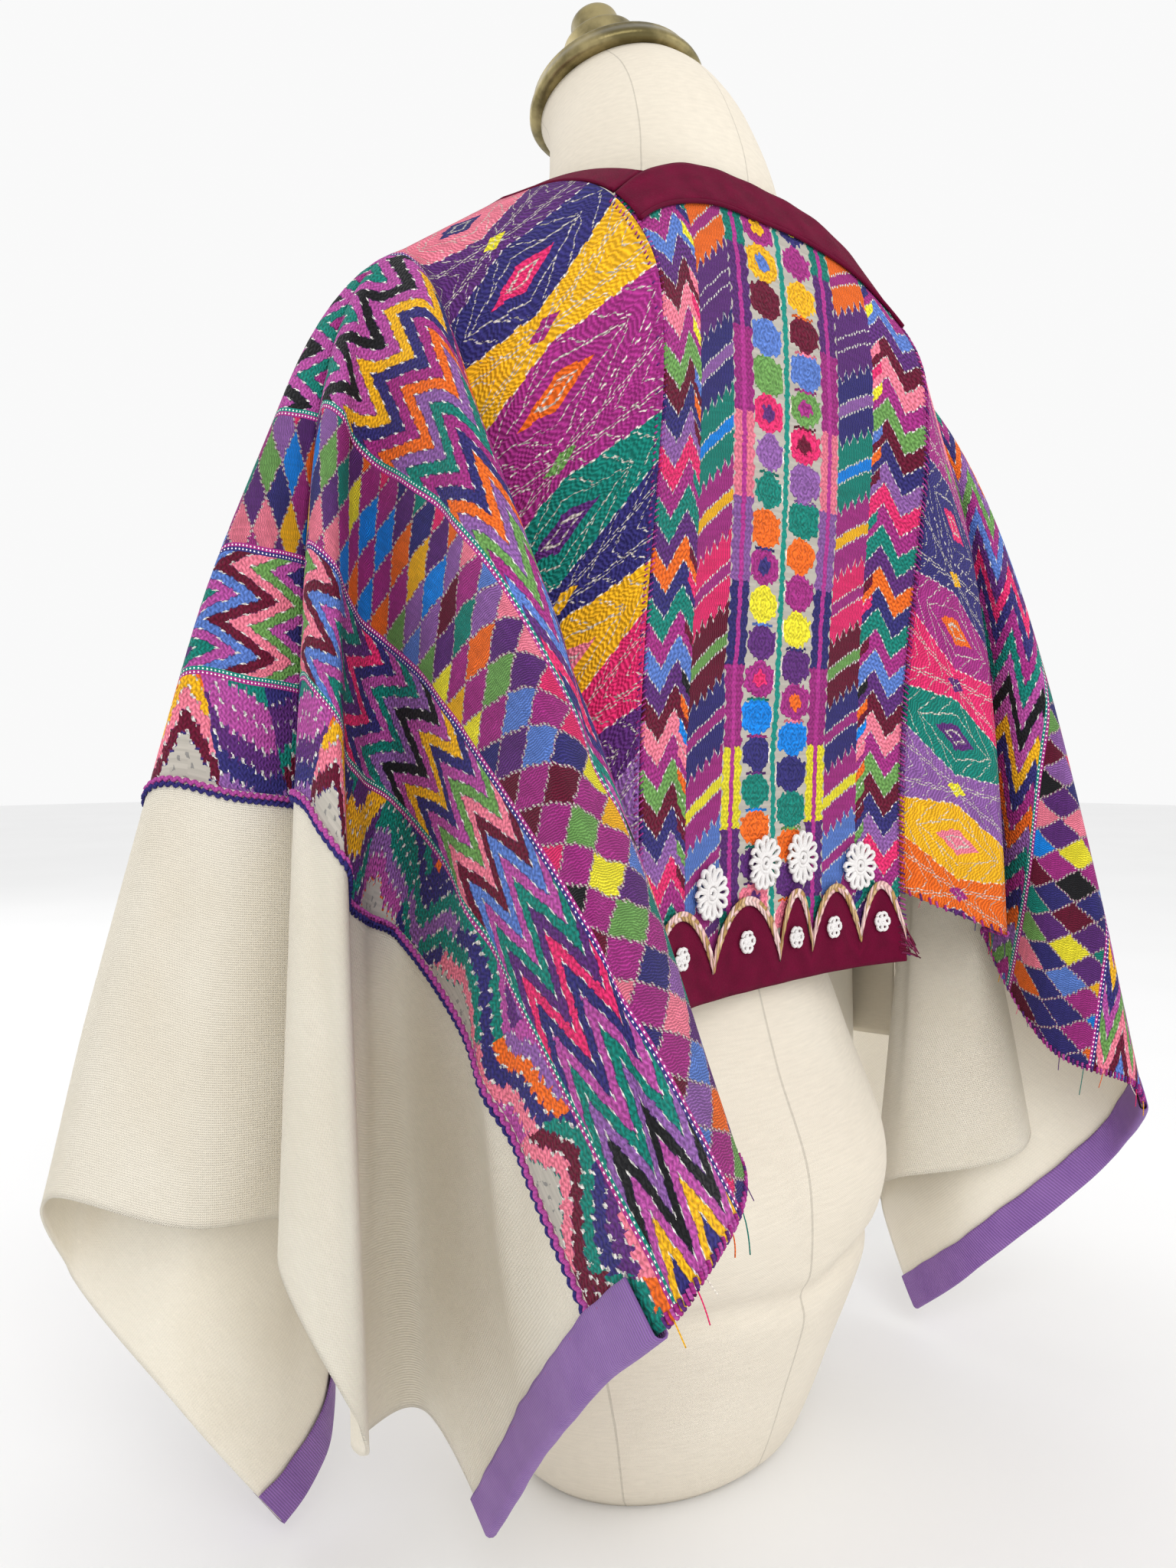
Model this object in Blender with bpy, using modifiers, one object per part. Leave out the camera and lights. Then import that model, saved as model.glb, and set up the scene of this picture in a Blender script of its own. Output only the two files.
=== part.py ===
"""Brocaded three-panel poncho worn on a limbless dress form, in metres, +Z up, wearer facing -Y.

Each cloth piece starts as a flat grid in the cloth's own measure, and a function carries each grid point to its
place in the drape. On a wing, u runs from the shoulder seam to the end edge and v from the seam with the centre
panel to the outer selvage. On a centre panel, x runs across and s runs from the neck edge down to the hem.
"""

import math

import bmesh
import bpy
from mathutils import Vector

GAP = 0.0003
SHOULDER_GAP = 0.0009
TRIM_GAP = 0.0009
LEFT_SEAM_GAP = 0.0023
RIGHT_SEAM_GAP = 0.0021
CLOTH_THICK = 0.0018
CENTRE_HALF = 0.131
NECK_HALF = 0.104
WING_LENGTH = 0.52
WING_WIDTH = 0.64
HEM_LENGTH = 0.572
NECK_CORNER = 0.100

LEFT_APEX = Vector((0.186, -0.030, 0.776))
RIGHT_APEX = Vector((-0.210, 0.020, 0.790))
APEX_V = 0.05
TURN_LENGTH_OUT = 0.072
START_LEAN_OUT = 0.93
START_LEAN_ALONG = 0.99
RAY_STEP = 0.012

SEAM_LINE = (
    # distance from the front-back plane, height
    (0.000, 0.8120),
    (0.055, 0.8060),
    (0.094, 0.7880),
    (0.127, 0.7450),
    (0.134, 0.6900),
    (0.130, 0.6300),
    (0.121, 0.5400),
    (0.117, 0.4600),
    (0.119, 0.3700),
    (0.124, 0.3300),
)
CENTRE_LINE = (
    # distance from the front-back plane, height
    (0.092, 0.8290),
    (0.104, 0.8000),
    (0.112, 0.7500),
    (0.115, 0.6900),
    (0.114, 0.6300),
    (0.110, 0.5400),
    (0.107, 0.4600),
    (0.106, 0.3700),
    (0.106, 0.3300),
)

# Each wing half hangs in rays from the shoulder. A row gives the ray's angle in the flat cloth, from straight out
# along the shoulder seam to straight along the panel seam, then how that ray hangs: how far it leans out to the
# side and along to the back or front, for each metre of ray, and the share of its flat length that it spans.
LEFT_BACK_RAYS = (
    # cloth angle, lean out, lean along, reach
    (0, 0.02, 0.00, 0.98),
    (9, 0.13, 0.13, 0.97),
    (18, 0.11, 0.22, 1.05),
    (27, 0.04, 0.07, 1.03),
    (36, -0.06, 0.01, 0.96),
    (45, -0.01, 0.17, 0.94),
    (54, 0.09, 0.36, 0.97),
    (63, 0.14, 0.50, 1.03),
    (72, 0.00, 0.44, 1.02),
    (81, -0.05, 0.27, 0.97),
    (90, 0.00, 0.05, 0.95),
)
LEFT_FRONT_RAYS = (
    # cloth angle, lean out, lean along, reach
    (0, 0.02, 0.00, 0.98),
    (9, 0.14, 0.00, 0.97),
    (18, 0.24, 0.11, 0.94),
    (27, 0.16, 0.18, 0.99),
    (36, 0.12, 0.01, 0.95),
    (45, -0.03, 0.00, 1.02),
    (54, -0.07, 0.16, 1.03),
    (63, 0.10, 0.24, 1.06),
    (72, 0.19, 0.10, 1.05),
    (81, 0.08, 0.16, 1.03),
    (90, 0.00, 0.05, 0.95),
)
RIGHT_BACK_RAYS = (
    # cloth angle, lean out, lean along, reach
    (0, 0.02, 0.00, 0.98),
    (9, 0.10, 0.12, 1.03),
    (18, -0.02, 0.18, 1.06),
    (27, -0.12, 0.02, 1.02),
    (36, -0.02, -0.08, 0.99),
    (45, -0.04, 0.03, 1.03),
    (54, 0.10, 0.15, 1.06),
    (63, 0.02, 0.21, 1.07),
    (72, -0.05, 0.10, 1.06),
    (81, 0.06, -0.05, 0.92),
    (90, 0.00, 0.05, 0.92),
)
RIGHT_FRONT_RAYS = (
    # cloth angle, lean out, lean along, reach
    (0, 0.02, 0.00, 0.98),
    (9, 0.08, 0.15, 1.01),
    (18, 0.24, 0.20, 1.04),
    (27, 0.28, 0.04, 1.04),
    (36, 0.12, 0.08, 1.02),
    (45, 0.01, -0.04, 0.97),
    (54, -0.09, 0.04, 1.00),
    (63, 0.02, 0.18, 1.03),
    (72, 0.01, 0.31, 1.05),
    (81, -0.09, 0.24, 0.99),
    (90, 0.00, 0.05, 0.94),
)
WINGS = (
    # name, side, half, shoulder point, turn length along the panel seam, rays
    ("left_back", 1, 1, LEFT_APEX, 0.072, LEFT_BACK_RAYS),
    ("left_front", 1, -1, LEFT_APEX, 0.072, LEFT_FRONT_RAYS),
    ("right_back", -1, 1, RIGHT_APEX, 0.130, RIGHT_BACK_RAYS),
    ("right_front", -1, -1, RIGHT_APEX, 0.085, RIGHT_FRONT_RAYS),
)
WING_GRID = (17, 20)
CENTRE_GRID = (16, 17)

FORM_SIDES = 28
FORM_SECTIONS = (
    # height, half width, half depth, centre y
    (0.000, 0.100, 0.078, 0.010),
    (0.012, 0.112, 0.090, 0.010),
    (0.070, 0.138, 0.106, 0.014),
    (0.135, 0.168, 0.122, 0.016),
    (0.210, 0.186, 0.128, 0.012),
    (0.280, 0.172, 0.108, 0.004),
    (0.370, 0.136, 0.084, 0.002),
    (0.440, 0.122, 0.078, 0.002),
    (0.520, 0.134, 0.084, 0.002),
    (0.600, 0.146, 0.094, 0.000),
    (0.680, 0.156, 0.090, 0.002),
    (0.732, 0.160, 0.070, 0.004),
    (0.762, 0.158, 0.056, 0.000),
    (0.789, 0.149, 0.048, -0.004),
    (0.8025, 0.140, 0.050, -0.002),
    (0.812, 0.119, 0.057, 0.006),
    (0.820, 0.092, 0.067, 0.014),
    (0.845, 0.083, 0.070, 0.012),
    (0.875, 0.071, 0.065, 0.000),
    (0.899, 0.061, 0.058, -0.014),
    (0.921, 0.054, 0.053, -0.031),
)
NECK_LEAN = math.radians(20)
CAP_PROFILE = (
    # radius, height over the neck's top
    (0.0, 0.0230),
    (0.024, 0.0225),
    (0.044, 0.0200),
    (0.0545, 0.0165),
    (0.0575, 0.0130),
    (0.0575, 0.0),
    (0.0, 0.0),
)
KNOB_PROFILE = (
    # radius, height over the neck's top
    (0.0, 0.0780),
    (0.010, 0.0765),
    (0.016, 0.0715),
    (0.0175, 0.0640),
    (0.019, 0.0570),
    (0.024, 0.0520),
    (0.027, 0.0490),
    (0.027, 0.0240),
    (0.0, 0.0240),
)
TURNED_STEPS = 24

NECK_BAND_WIDTH = 0.027
NECK_RIDGE = 0.828
STRAP_TRIM = 0.012
NECK_BAND_THICK = 0.0014
HEM_BAND_THICK = 0.0014
CUSP_HEIGHT = 0.018
ARCH_RISE = 0.036
ARCH_ENDS = (-0.131, -0.090, -0.040, -0.006, 0.062, 0.131)
BRAID_WIDTH = 0.0055
BRAID_THICK = 0.0014
DAISY_PLACES = (
    # across from the centre line, height over the hem
    (0.063, 0.062),
    (0.010, 0.0745),
    (-0.029, 0.0750),
    (-0.090, 0.067),
)
BLOSSOM_PLACES = (
    # across from the centre line, height over the hem
    (0.096, 0.030),
    (0.029, 0.030),
    (-0.022, 0.027),
    (-0.062, 0.029),
    (-0.110, 0.029),
)
DAISY_RADIUS = 0.0155
DAISY_PETALS = 12
BLOSSOM_RADIUS = 0.0072
BLOSSOM_PETALS = 6
FLOWER_THICK = 0.0020

RIBBON_FLAP = 0.021
RIBBON_THICK = 0.0009
RIBBON_START = 0.352
RIBBON_STATIONS = 9
RIBBON_GAP = 0.0008

FINISHES = {
    # name: colour, roughness, metallic
    "form_linen": ((0.80, 0.74, 0.64), 0.75, 0.0),
    "aged_brass": ((0.20, 0.17, 0.09), 0.35, 0.9),
    "brocade": ((0.32, 0.10, 0.36), 0.85, 0.0),
    "burgundy_velvet": ((0.16, 0.01, 0.05), 0.80, 0.0),
    "pink_braid": ((0.70, 0.42, 0.36), 0.70, 0.0),
    "white_crochet": ((0.86, 0.85, 0.83), 0.80, 0.0),
    "lilac_ribbon": ((0.40, 0.18, 0.56), 0.60, 0.0),
}


def clear_scene():
    for obj in list(bpy.data.objects):
        bpy.data.objects.remove(obj, do_unlink=True)


def make_material(name):
    colour, roughness, metallic = FINISHES[name]
    material = bpy.data.materials.new(name)
    material.use_nodes = True
    shader = material.node_tree.nodes["Principled BSDF"]
    shader.inputs["Base Color"].default_value = (*colour, 1.0)
    shader.inputs["Roughness"].default_value = roughness
    shader.inputs["Metallic"].default_value = metallic
    return material


def add_object(collection, name, shape, material):
    """Turns a bmesh into a named, smooth-shaded object."""
    mesh = bpy.data.meshes.new(name)
    shape.to_mesh(mesh)
    shape.free()
    mesh.materials.append(material)
    mesh.shade_smooth()
    mesh.set_sharp_from_angle(angle=math.radians(50))
    obj = bpy.data.objects.new(name, mesh)
    collection.objects.link(obj)
    return obj


def row_value(rows, key, column):
    """Smooth value of a table's column at a key of its first column."""
    if key <= rows[0][0]:
        return rows[0][column]
    if key >= rows[-1][0]:
        return rows[-1][column]
    i = next(n for n in range(len(rows) - 1) if rows[n + 1][0] >= key)
    low, high = rows[i], rows[i + 1]
    before = rows[max(i - 1, 0)]
    after = rows[min(i + 2, len(rows) - 1)]
    span = high[0] - low[0]
    slope_low = (high[column] - before[column]) / (high[0] - before[0]) * span
    slope_high = (after[column] - low[column]) / (after[0] - low[0]) * span
    t = (key - low[0]) / span
    return (
        low[column] * (2 * t**3 - 3 * t**2 + 1)
        + high[column] * (3 * t**2 - 2 * t**3)
        + slope_low * (t**3 - 2 * t**2 + t)
        + slope_high * (t**3 - t**2)
    )


def with_length(points):
    """Adds to each (y, z) point its distance along the line, as the first column."""
    rows = [(0.0, *points[0])]
    for last, point in zip(points, points[1:]):
        rows.append((rows[-1][0] + math.dist(last, point), *point))
    return rows


SEAM_ROWS = with_length(SEAM_LINE)
CENTRE_ROWS = with_length(CENTRE_LINE)


def seam_point(side, half, u):
    """Point of the seam between the centre panel and a wing, u from the shoulder."""
    y = row_value(SEAM_ROWS, u, 1)
    z = row_value(SEAM_ROWS, u, 2)
    return Vector((side * CENTRE_HALF, half * y, z))


def centre_point(half, x, s):
    """Point of a centre panel: x across, s down from the neck edge."""
    share = s / (HEM_LENGTH - NECK_CORNER)
    edge = seam_point(1, half, NECK_CORNER + share * (SEAM_ROWS[-1][0] - NECK_CORNER))
    along = share * CENTRE_ROWS[-1][0]
    middle_y = half * row_value(CENTRE_ROWS, along, 1)
    middle_z = row_value(CENTRE_ROWS, along, 2)
    side_share = abs(x / CENTRE_HALF) ** 3
    y = middle_y + (edge.y - middle_y) * side_share
    z = middle_z + (edge.z - middle_z) * side_share
    return Vector((x, y, z))


def ray_point(wing, angle, distance):
    """Point at a distance from the apex along the hanging ray of this cloth angle, in degrees."""
    _, side, half, apex, turn_along, rays = wing
    lean_out = row_value(rays, angle, 1)
    lean_along = row_value(rays, angle, 2)
    reach = row_value(rays, angle, 3)
    along_share = math.sin(math.radians(angle)) ** 2
    start_lean = START_LEAN_OUT + (START_LEAN_ALONG - START_LEAN_OUT) * along_share
    start_out = start_lean * math.cos(math.radians(angle))
    start_along = start_lean * math.sin(math.radians(angle))
    turn_length = TURN_LENGTH_OUT + (turn_along - TURN_LENGTH_OUT) * along_share
    steps = max(1, math.ceil(distance / RAY_STEP))
    step = distance / steps
    point = apex.copy()
    for i in range(steps):
        fade = math.exp(-(i + 0.5) * step / turn_length)
        out = lean_out + (start_out - lean_out) * fade
        along = lean_along + (start_along - lean_along) * fade
        span = step * (1 - (1 - reach) * (1 - fade))
        point.x += side * span * out
        point.y += half * span * along
        point.z -= span * math.sqrt(1 - out**2 - along**2)
    return point


def wing_point(wing, u, v):
    """Point of a wing half: v from the panel seam outwards, u from the shoulder seam."""
    out = v - APEX_V
    if out >= 0:
        return ray_point(wing, math.degrees(math.atan2(u, out)), math.hypot(u, out))
    side = wing[1]
    u = max(u, 0)
    seam = seam_point(side, wing[2], u)
    seam.x += LEFT_SEAM_GAP if side > 0 else -RIGHT_SEAM_GAP
    return seam.lerp(ray_point(wing, 90, u), v / APEX_V)


def facing(surface, a, b, outward):
    """Unit normal of a surface at (a, b), on the side that outward picks."""
    step = 0.002
    along_a = surface(a + step, b) - surface(a - step, b)
    along_b = surface(a, b + step) - surface(a, b - step)
    return along_a.cross(along_b).normalized() * outward


def lifted(surface, outward, height):
    """The same surface moved out along its normal."""

    def moved(a, b):
        return surface(a, b) + facing(surface, a, b, outward) * height

    return moved


def sheet_grid(columns, rows, place):
    """A grid whose square runs from 0 to 1 both ways, with each vertex carried to place(a, b).

    Each of its cells is cut along the diagonal from the low corner to the high one.
    """
    shape = bmesh.new()
    bmesh.ops.create_grid(shape, x_segments=columns, y_segments=rows, size=0.5)
    for face in shape.faces[:]:
        corners = sorted(face.verts, key=lambda vert: vert.co.x + vert.co.y)
        bmesh.utils.face_split(face, corners[0], corners[-1])
    for vert in shape.verts:
        vert.co = place(vert.co.x + 0.5, vert.co.y + 0.5)
    return shape


def add_sheet(collection, name, material, grid, place, thickness, outward):
    """A cloth sheet from a shaped grid, thickened towards the side that its place's normals face."""
    shape = sheet_grid(*grid, place)
    if outward < 0:
        bmesh.ops.reverse_faces(shape, faces=shape.faces[:])
    obj = add_object(collection, name, shape, material)
    solidify = obj.modifiers.new("thickness", "SOLIDIFY")
    solidify.thickness = thickness
    solidify.offset = 1.0
    solidify.use_even_offset = False
    return obj


def add_loft(collection, name, rings, material, turned=()):
    """Closed solid through rings of equally many points, capped at both ends.

    Each side face is cut along one diagonal, and along the other one on the sides numbered in turned.
    """
    shape = bmesh.new()
    rows = [[shape.verts.new(point) for point in ring] for ring in rings]
    count = len(rows[0])
    for low, high in zip(rows, rows[1:]):
        for i in range(count):
            face = shape.faces.new((low[i], low[(i + 1) % count], high[(i + 1) % count], high[i]))
            ends = (low[(i + 1) % count], high[i]) if i in turned else (low[i], high[(i + 1) % count])
            bmesh.utils.face_split(face, *ends)
    shape.faces.new(list(reversed(rows[0])))
    shape.faces.new(rows[-1])
    bmesh.ops.recalc_face_normals(shape, faces=shape.faces[:])
    return add_object(collection, name, shape, material)


def wing_surface(wing):
    def surface(u, v):
        return wing_point(wing, u, v)

    return surface


def centre_surface(half):
    def surface(x, s):
        return centre_point(half, x, s)

    return surface


def wing_outward(wing):
    """Sign that turns the u by v normal to the outside of the cloth."""
    return -wing[1] * wing[2]


def build_form(collection, materials):
    rings = []
    for height, half_width, half_depth, centre_y in FORM_SECTIONS:
        ring = []
        for i in range(FORM_SIDES):
            turn = 2 * math.pi * i / FORM_SIDES
            ring.append(
                Vector((half_width * math.cos(turn), centre_y + half_depth * math.sin(turn), height))
            )
        rings.append(ring)
    top = FORM_SECTIONS[-1]
    for point in rings[-1]:
        point.z += (point.y - top[3]) * math.tan(NECK_LEAN)
    add_loft(collection, "form_body", rings, materials["form_linen"])


def build_turned(collection, name, profile, material):
    """A turned piece on the leaning top of the neck."""
    top = FORM_SECTIONS[-1]
    shape = bmesh.new()
    verts = [shape.verts.new((radius, 0, height)) for radius, height in profile]
    for low, high in zip(verts, verts[1:]):
        shape.edges.new((low, high))
    obj = add_object(collection, name, shape, material)
    obj.location = (0, top[3] - GAP * math.sin(NECK_LEAN), top[0] + GAP * 2)
    obj.rotation_euler = (NECK_LEAN, 0, 0)
    screw = obj.modifiers.new("turn", "SCREW")
    screw.steps = TURNED_STEPS
    screw.render_steps = TURNED_STEPS
    screw.use_merge_vertices = True
    screw.merge_threshold = 0.0001
    return obj


def build_centre_panel(collection, materials, name, half):
    surface = lifted(centre_surface(half), half, -CLOTH_THICK)
    length = HEM_LENGTH - NECK_CORNER

    def place(a, b):
        return surface((a - 0.5) * 2 * CENTRE_HALF, b * length)

    add_sheet(collection, "panel_" + name, materials["brocade"], CENTRE_GRID, place, CLOTH_THICK, half)


def build_wing(collection, materials, wing):
    outward = wing_outward(wing)
    surface = lifted(wing_surface(wing), outward, -CLOTH_THICK)

    flap_row = 1 - 1 / WING_GRID[0]
    flap_start = WING_LENGTH - RIBBON_FLAP

    def place(a, b):
        if a < flap_row:
            u = SHOULDER_GAP + a / flap_row * (flap_start - SHOULDER_GAP)
        else:
            u = flap_start + (a - flap_row) / (1 - flap_row) * RIBBON_FLAP
        return surface(u, b * WING_WIDTH)

    add_sheet(collection, "wing_" + wing[0], materials["brocade"], WING_GRID, place, CLOTH_THICK, outward)


def build_ribbon(collection, materials, wing):
    """A folded ribbon round the end edge of a wing, from the brocade's outer bands to the corner."""
    surface = wing_surface(wing)
    outward = wing_outward(wing)
    inner_face = -CLOTH_THICK - RIBBON_GAP
    section = (
        # way past the end edge, way out of the cloth's outer face
        (-RIBBON_FLAP, RIBBON_GAP),
        (-RIBBON_FLAP, RIBBON_GAP + RIBBON_THICK),
        (RIBBON_GAP + RIBBON_THICK, RIBBON_GAP + RIBBON_THICK),
        (RIBBON_GAP + RIBBON_THICK, inner_face - RIBBON_THICK),
        (-RIBBON_FLAP, inner_face - RIBBON_THICK),
        (-RIBBON_FLAP, inner_face),
        (RIBBON_GAP, inner_face),
        (RIBBON_GAP, RIBBON_GAP),
    )
    rings = []
    for i in range(RIBBON_STATIONS + 1):
        v = RIBBON_START + (WING_WIDTH - RIBBON_START) * i / RIBBON_STATIONS
        ring = []
        for past, out in section:
            u = WING_LENGTH + past
            ring.append(surface(u, v) + facing(surface, u, v, outward) * out)
        rings.append(ring)
    turned = [i for i in range(len(section)) if section[(i + 1) % len(section)][0] < section[i][0]]
    add_loft(collection, "ribbon_" + wing[0], rings, materials["lilac_ribbon"], turned)


def arch_height(x):
    """Height of the hem band's scalloped top over the hem, at x across."""
    x = min(max(x, ARCH_ENDS[0]), ARCH_ENDS[-1])
    i = min(sum(end < x for end in ARCH_ENDS[1:-1]), len(ARCH_ENDS) - 2)
    share = (x - ARCH_ENDS[i]) / (ARCH_ENDS[i + 1] - ARCH_ENDS[i])
    return CUSP_HEIGHT + ARCH_RISE * math.sin(math.pi * share) ** 0.7


def build_hem(collection, materials, name, half):
    """The velvet band with its scalloped top, the braid along it and the flowers."""
    surface = centre_surface(half)
    length = HEM_LENGTH - NECK_CORNER
    band_face = lifted(surface, half, TRIM_GAP)
    half_width = CENTRE_HALF - GAP

    def band_place(a, b):
        x = (a - 0.5) * 2 * half_width
        return band_face(x, length - (1 - b) * arch_height(x))

    velvet = materials["burgundy_velvet"]
    add_sheet(collection, "hem_band_" + name, velvet, (40, 2), band_place, HEM_BAND_THICK, half)
    braid_face = lifted(surface, half, TRIM_GAP + 2 * GAP + HEM_BAND_THICK)

    def braid_place(a, b):
        x = (a - 0.5) * 2 * half_width
        step = 0.001
        slope = (arch_height(x + step) - arch_height(x - step)) / (2 * step)
        stretch = min(math.hypot(1, slope), 2.0)
        return braid_face(x, length - arch_height(x) + (b - 0.5) * BRAID_WIDTH * stretch)

    add_sheet(
        collection, "hem_braid_" + name, materials["pink_braid"], (50, 1), braid_place, BRAID_THICK, half
    )
    flowers = (
        # kind, places, radius, petals, height of its back over the panel
        ("daisy", DAISY_PLACES, DAISY_RADIUS, DAISY_PETALS, TRIM_GAP),
        ("blossom", BLOSSOM_PLACES, BLOSSOM_RADIUS, BLOSSOM_PETALS, TRIM_GAP + 2 * GAP + HEM_BAND_THICK),
    )
    for kind, places, radius, petals, height in flowers:
        face = lifted(surface, half, height)
        for number, (across, over_hem) in enumerate(places, start=1):
            label = f"{kind}_{name}_{number}"
            build_flower(collection, materials, label, half, face, (across, length - over_hem), radius, petals)


def build_flower(collection, materials, name, half, face, centre, radius, petals):
    """A flat crocheted flower that follows the cloth under it."""
    shape = bmesh.new()
    bmesh.ops.create_circle(shape, cap_ends=True, cap_tris=True, segments=petals * 3, radius=1.0)
    for vert in shape.verts:
        turn = math.atan2(vert.co.y, vert.co.x)
        share = math.hypot(vert.co.x, vert.co.y)
        reach = radius * share * (0.88 + 0.12 * math.cos(petals * turn))
        vert.co = face(centre[0] + reach * math.cos(turn), centre[1] + reach * math.sin(turn))
    if half < 0:
        bmesh.ops.reverse_faces(shape, faces=shape.faces[:])
    obj = add_object(collection, name, shape, materials["white_crochet"])
    solidify = obj.modifiers.new("thickness", "SOLIDIFY")
    solidify.thickness = FLOWER_THICK
    solidify.offset = 1.0


def build_neck_bands(collection, materials):
    """The velvet binding round the neck opening: front and back bands over the panels, side bands over straps."""
    velvet = materials["burgundy_velvet"]
    for name, half in (("back", 1), ("front", -1)):
        face = lifted(centre_surface(half), half, TRIM_GAP)

        def place(a, b, face=face):
            return face((a - 0.5) * 2 * (CENTRE_HALF - GAP), b * NECK_BAND_WIDTH)

        add_sheet(collection, "neck_band_" + name, velvet, (12, 2), place, NECK_BAND_THICK, half)
    inner_corner = centre_point(1, NECK_HALF, 0)

    def strap_point(side, a, b):
        """Point of a side band: a from the front corner to the back one, b from the neck outwards."""
        share = 2 * a - 1
        outer = seam_point(side, math.copysign(1, share), abs(share) * NECK_CORNER)
        rise = NECK_RIDGE - inner_corner.z
        inner = Vector((side * NECK_HALF, share * inner_corner.y, inner_corner.z + rise * (1 - share**2)))
        return inner.lerp(outer, b)

    for name, side in (("left", 1), ("right", -1)):

        def place(a, b, side=side):
            flat = strap_point(side, STRAP_TRIM + a * (1 - 2 * STRAP_TRIM), b * (1 - 3 * STRAP_TRIM))
            return flat + Vector((0, 0, -CLOTH_THICK))

        thick = CLOTH_THICK + NECK_BAND_THICK
        add_sheet(collection, "neck_band_" + name, velvet, (14, 2), place, thick, -side)


def build_poncho():
    clear_scene()
    collection = bpy.data.collections.new("brocaded_poncho_on_form")
    bpy.context.scene.collection.children.link(collection)
    materials = {name: make_material(name) for name in FINISHES}
    build_form(collection, materials)
    build_turned(collection, "form_cap", CAP_PROFILE, materials["aged_brass"])
    build_turned(collection, "form_knob", KNOB_PROFILE, materials["aged_brass"])
    for name, half in (("back", 1), ("front", -1)):
        build_centre_panel(collection, materials, name, half)
        build_hem(collection, materials, name, half)
    build_neck_bands(collection, materials)
    for wing in WINGS:
        build_wing(collection, materials, wing)
        build_ribbon(collection, materials, wing)


build_poncho()
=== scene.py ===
"""Brocaded three-panel poncho on a limbless dress form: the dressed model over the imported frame.

Metres, +Z up, the wearer faces -Y. Each cloth piece is a fine grid in the cloth's own measure, carried to its
place in the drape by the same tables that shape its solid. The cloth measure is kept as a UV map, and the
brocade's bands, the weave and the seams are drawn from it.
"""

import logging
import math
from dataclasses import dataclass, field
from enum import Enum
from typing import Callable, Optional, Sequence, Union

import bmesh
import bpy
import numpy as np
from mathutils import Matrix, Vector


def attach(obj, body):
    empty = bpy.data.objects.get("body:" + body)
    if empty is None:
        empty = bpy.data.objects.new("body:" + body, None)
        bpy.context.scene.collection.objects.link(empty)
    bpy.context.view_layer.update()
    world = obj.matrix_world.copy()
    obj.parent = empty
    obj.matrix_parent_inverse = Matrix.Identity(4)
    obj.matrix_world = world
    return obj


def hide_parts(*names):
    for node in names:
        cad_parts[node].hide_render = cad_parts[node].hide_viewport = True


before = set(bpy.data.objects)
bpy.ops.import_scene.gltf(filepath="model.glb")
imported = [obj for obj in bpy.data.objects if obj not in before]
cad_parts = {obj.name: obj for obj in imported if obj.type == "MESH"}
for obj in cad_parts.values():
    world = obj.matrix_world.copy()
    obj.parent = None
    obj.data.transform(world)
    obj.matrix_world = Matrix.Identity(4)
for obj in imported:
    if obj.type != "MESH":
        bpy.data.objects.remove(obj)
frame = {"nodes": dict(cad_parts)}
log = logging.getLogger("poncho")

Array = np.ndarray
Surface = Callable[[Array, Array], Array]
Row = tuple[float, ...]
Line = Callable[[Array], Array]
Mesh = bmesh.types.BMesh
Object = bpy.types.Object
Material = bpy.types.Material

# Sizes of the cloth pieces and of the drape, in metres, as in the solids.
CLOTH_THICK = 0.0018
TRIM_GAP = 0.0009
CENTRE_HALF = 0.131
NECK_HALF = 0.104
WING_LENGTH = 0.52
WING_WIDTH = 0.64
HEM_LENGTH = 0.572
NECK_CORNER = 0.100
PANEL_LENGTH = HEM_LENGTH - NECK_CORNER
LEFT_SEAM_GAP = 0.0023
RIGHT_SEAM_GAP = 0.0021
APEX_V = 0.05
TURN_LENGTH_OUT = 0.072
START_LEAN_OUT = 0.93
START_LEAN_ALONG = 0.99
RAY_STEPS = 40
RAY_ANGLE = 9
CHAIN_V = 0.399
NORMAL_STEP = 0.002
THREAD_SIDE = (0.31, 0.22, 0.92)

SEAM_LINE = (
    # distance from the front-back plane, height
    (0.000, 0.8120),
    (0.055, 0.8060),
    (0.094, 0.7880),
    (0.127, 0.7450),
    (0.134, 0.6900),
    (0.130, 0.6300),
    (0.121, 0.5400),
    (0.117, 0.4600),
    (0.119, 0.3700),
    (0.124, 0.3300),
)
CENTRE_LINE = (
    # distance from the front-back plane, height
    (0.092, 0.8290),
    (0.104, 0.8000),
    (0.112, 0.7500),
    (0.115, 0.6900),
    (0.114, 0.6300),
    (0.110, 0.5400),
    (0.107, 0.4600),
    (0.106, 0.3700),
    (0.106, 0.3300),
)


def rays(lean_out: Row, lean_along: Row, reach: Row) -> list[Row]:
    """Rows of cloth angle, lean out, lean along and reach, at even angles from the shoulder seam down."""
    return [(RAY_ANGLE * i, *row) for i, row in enumerate(zip(lean_out, lean_along, reach))]


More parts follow.
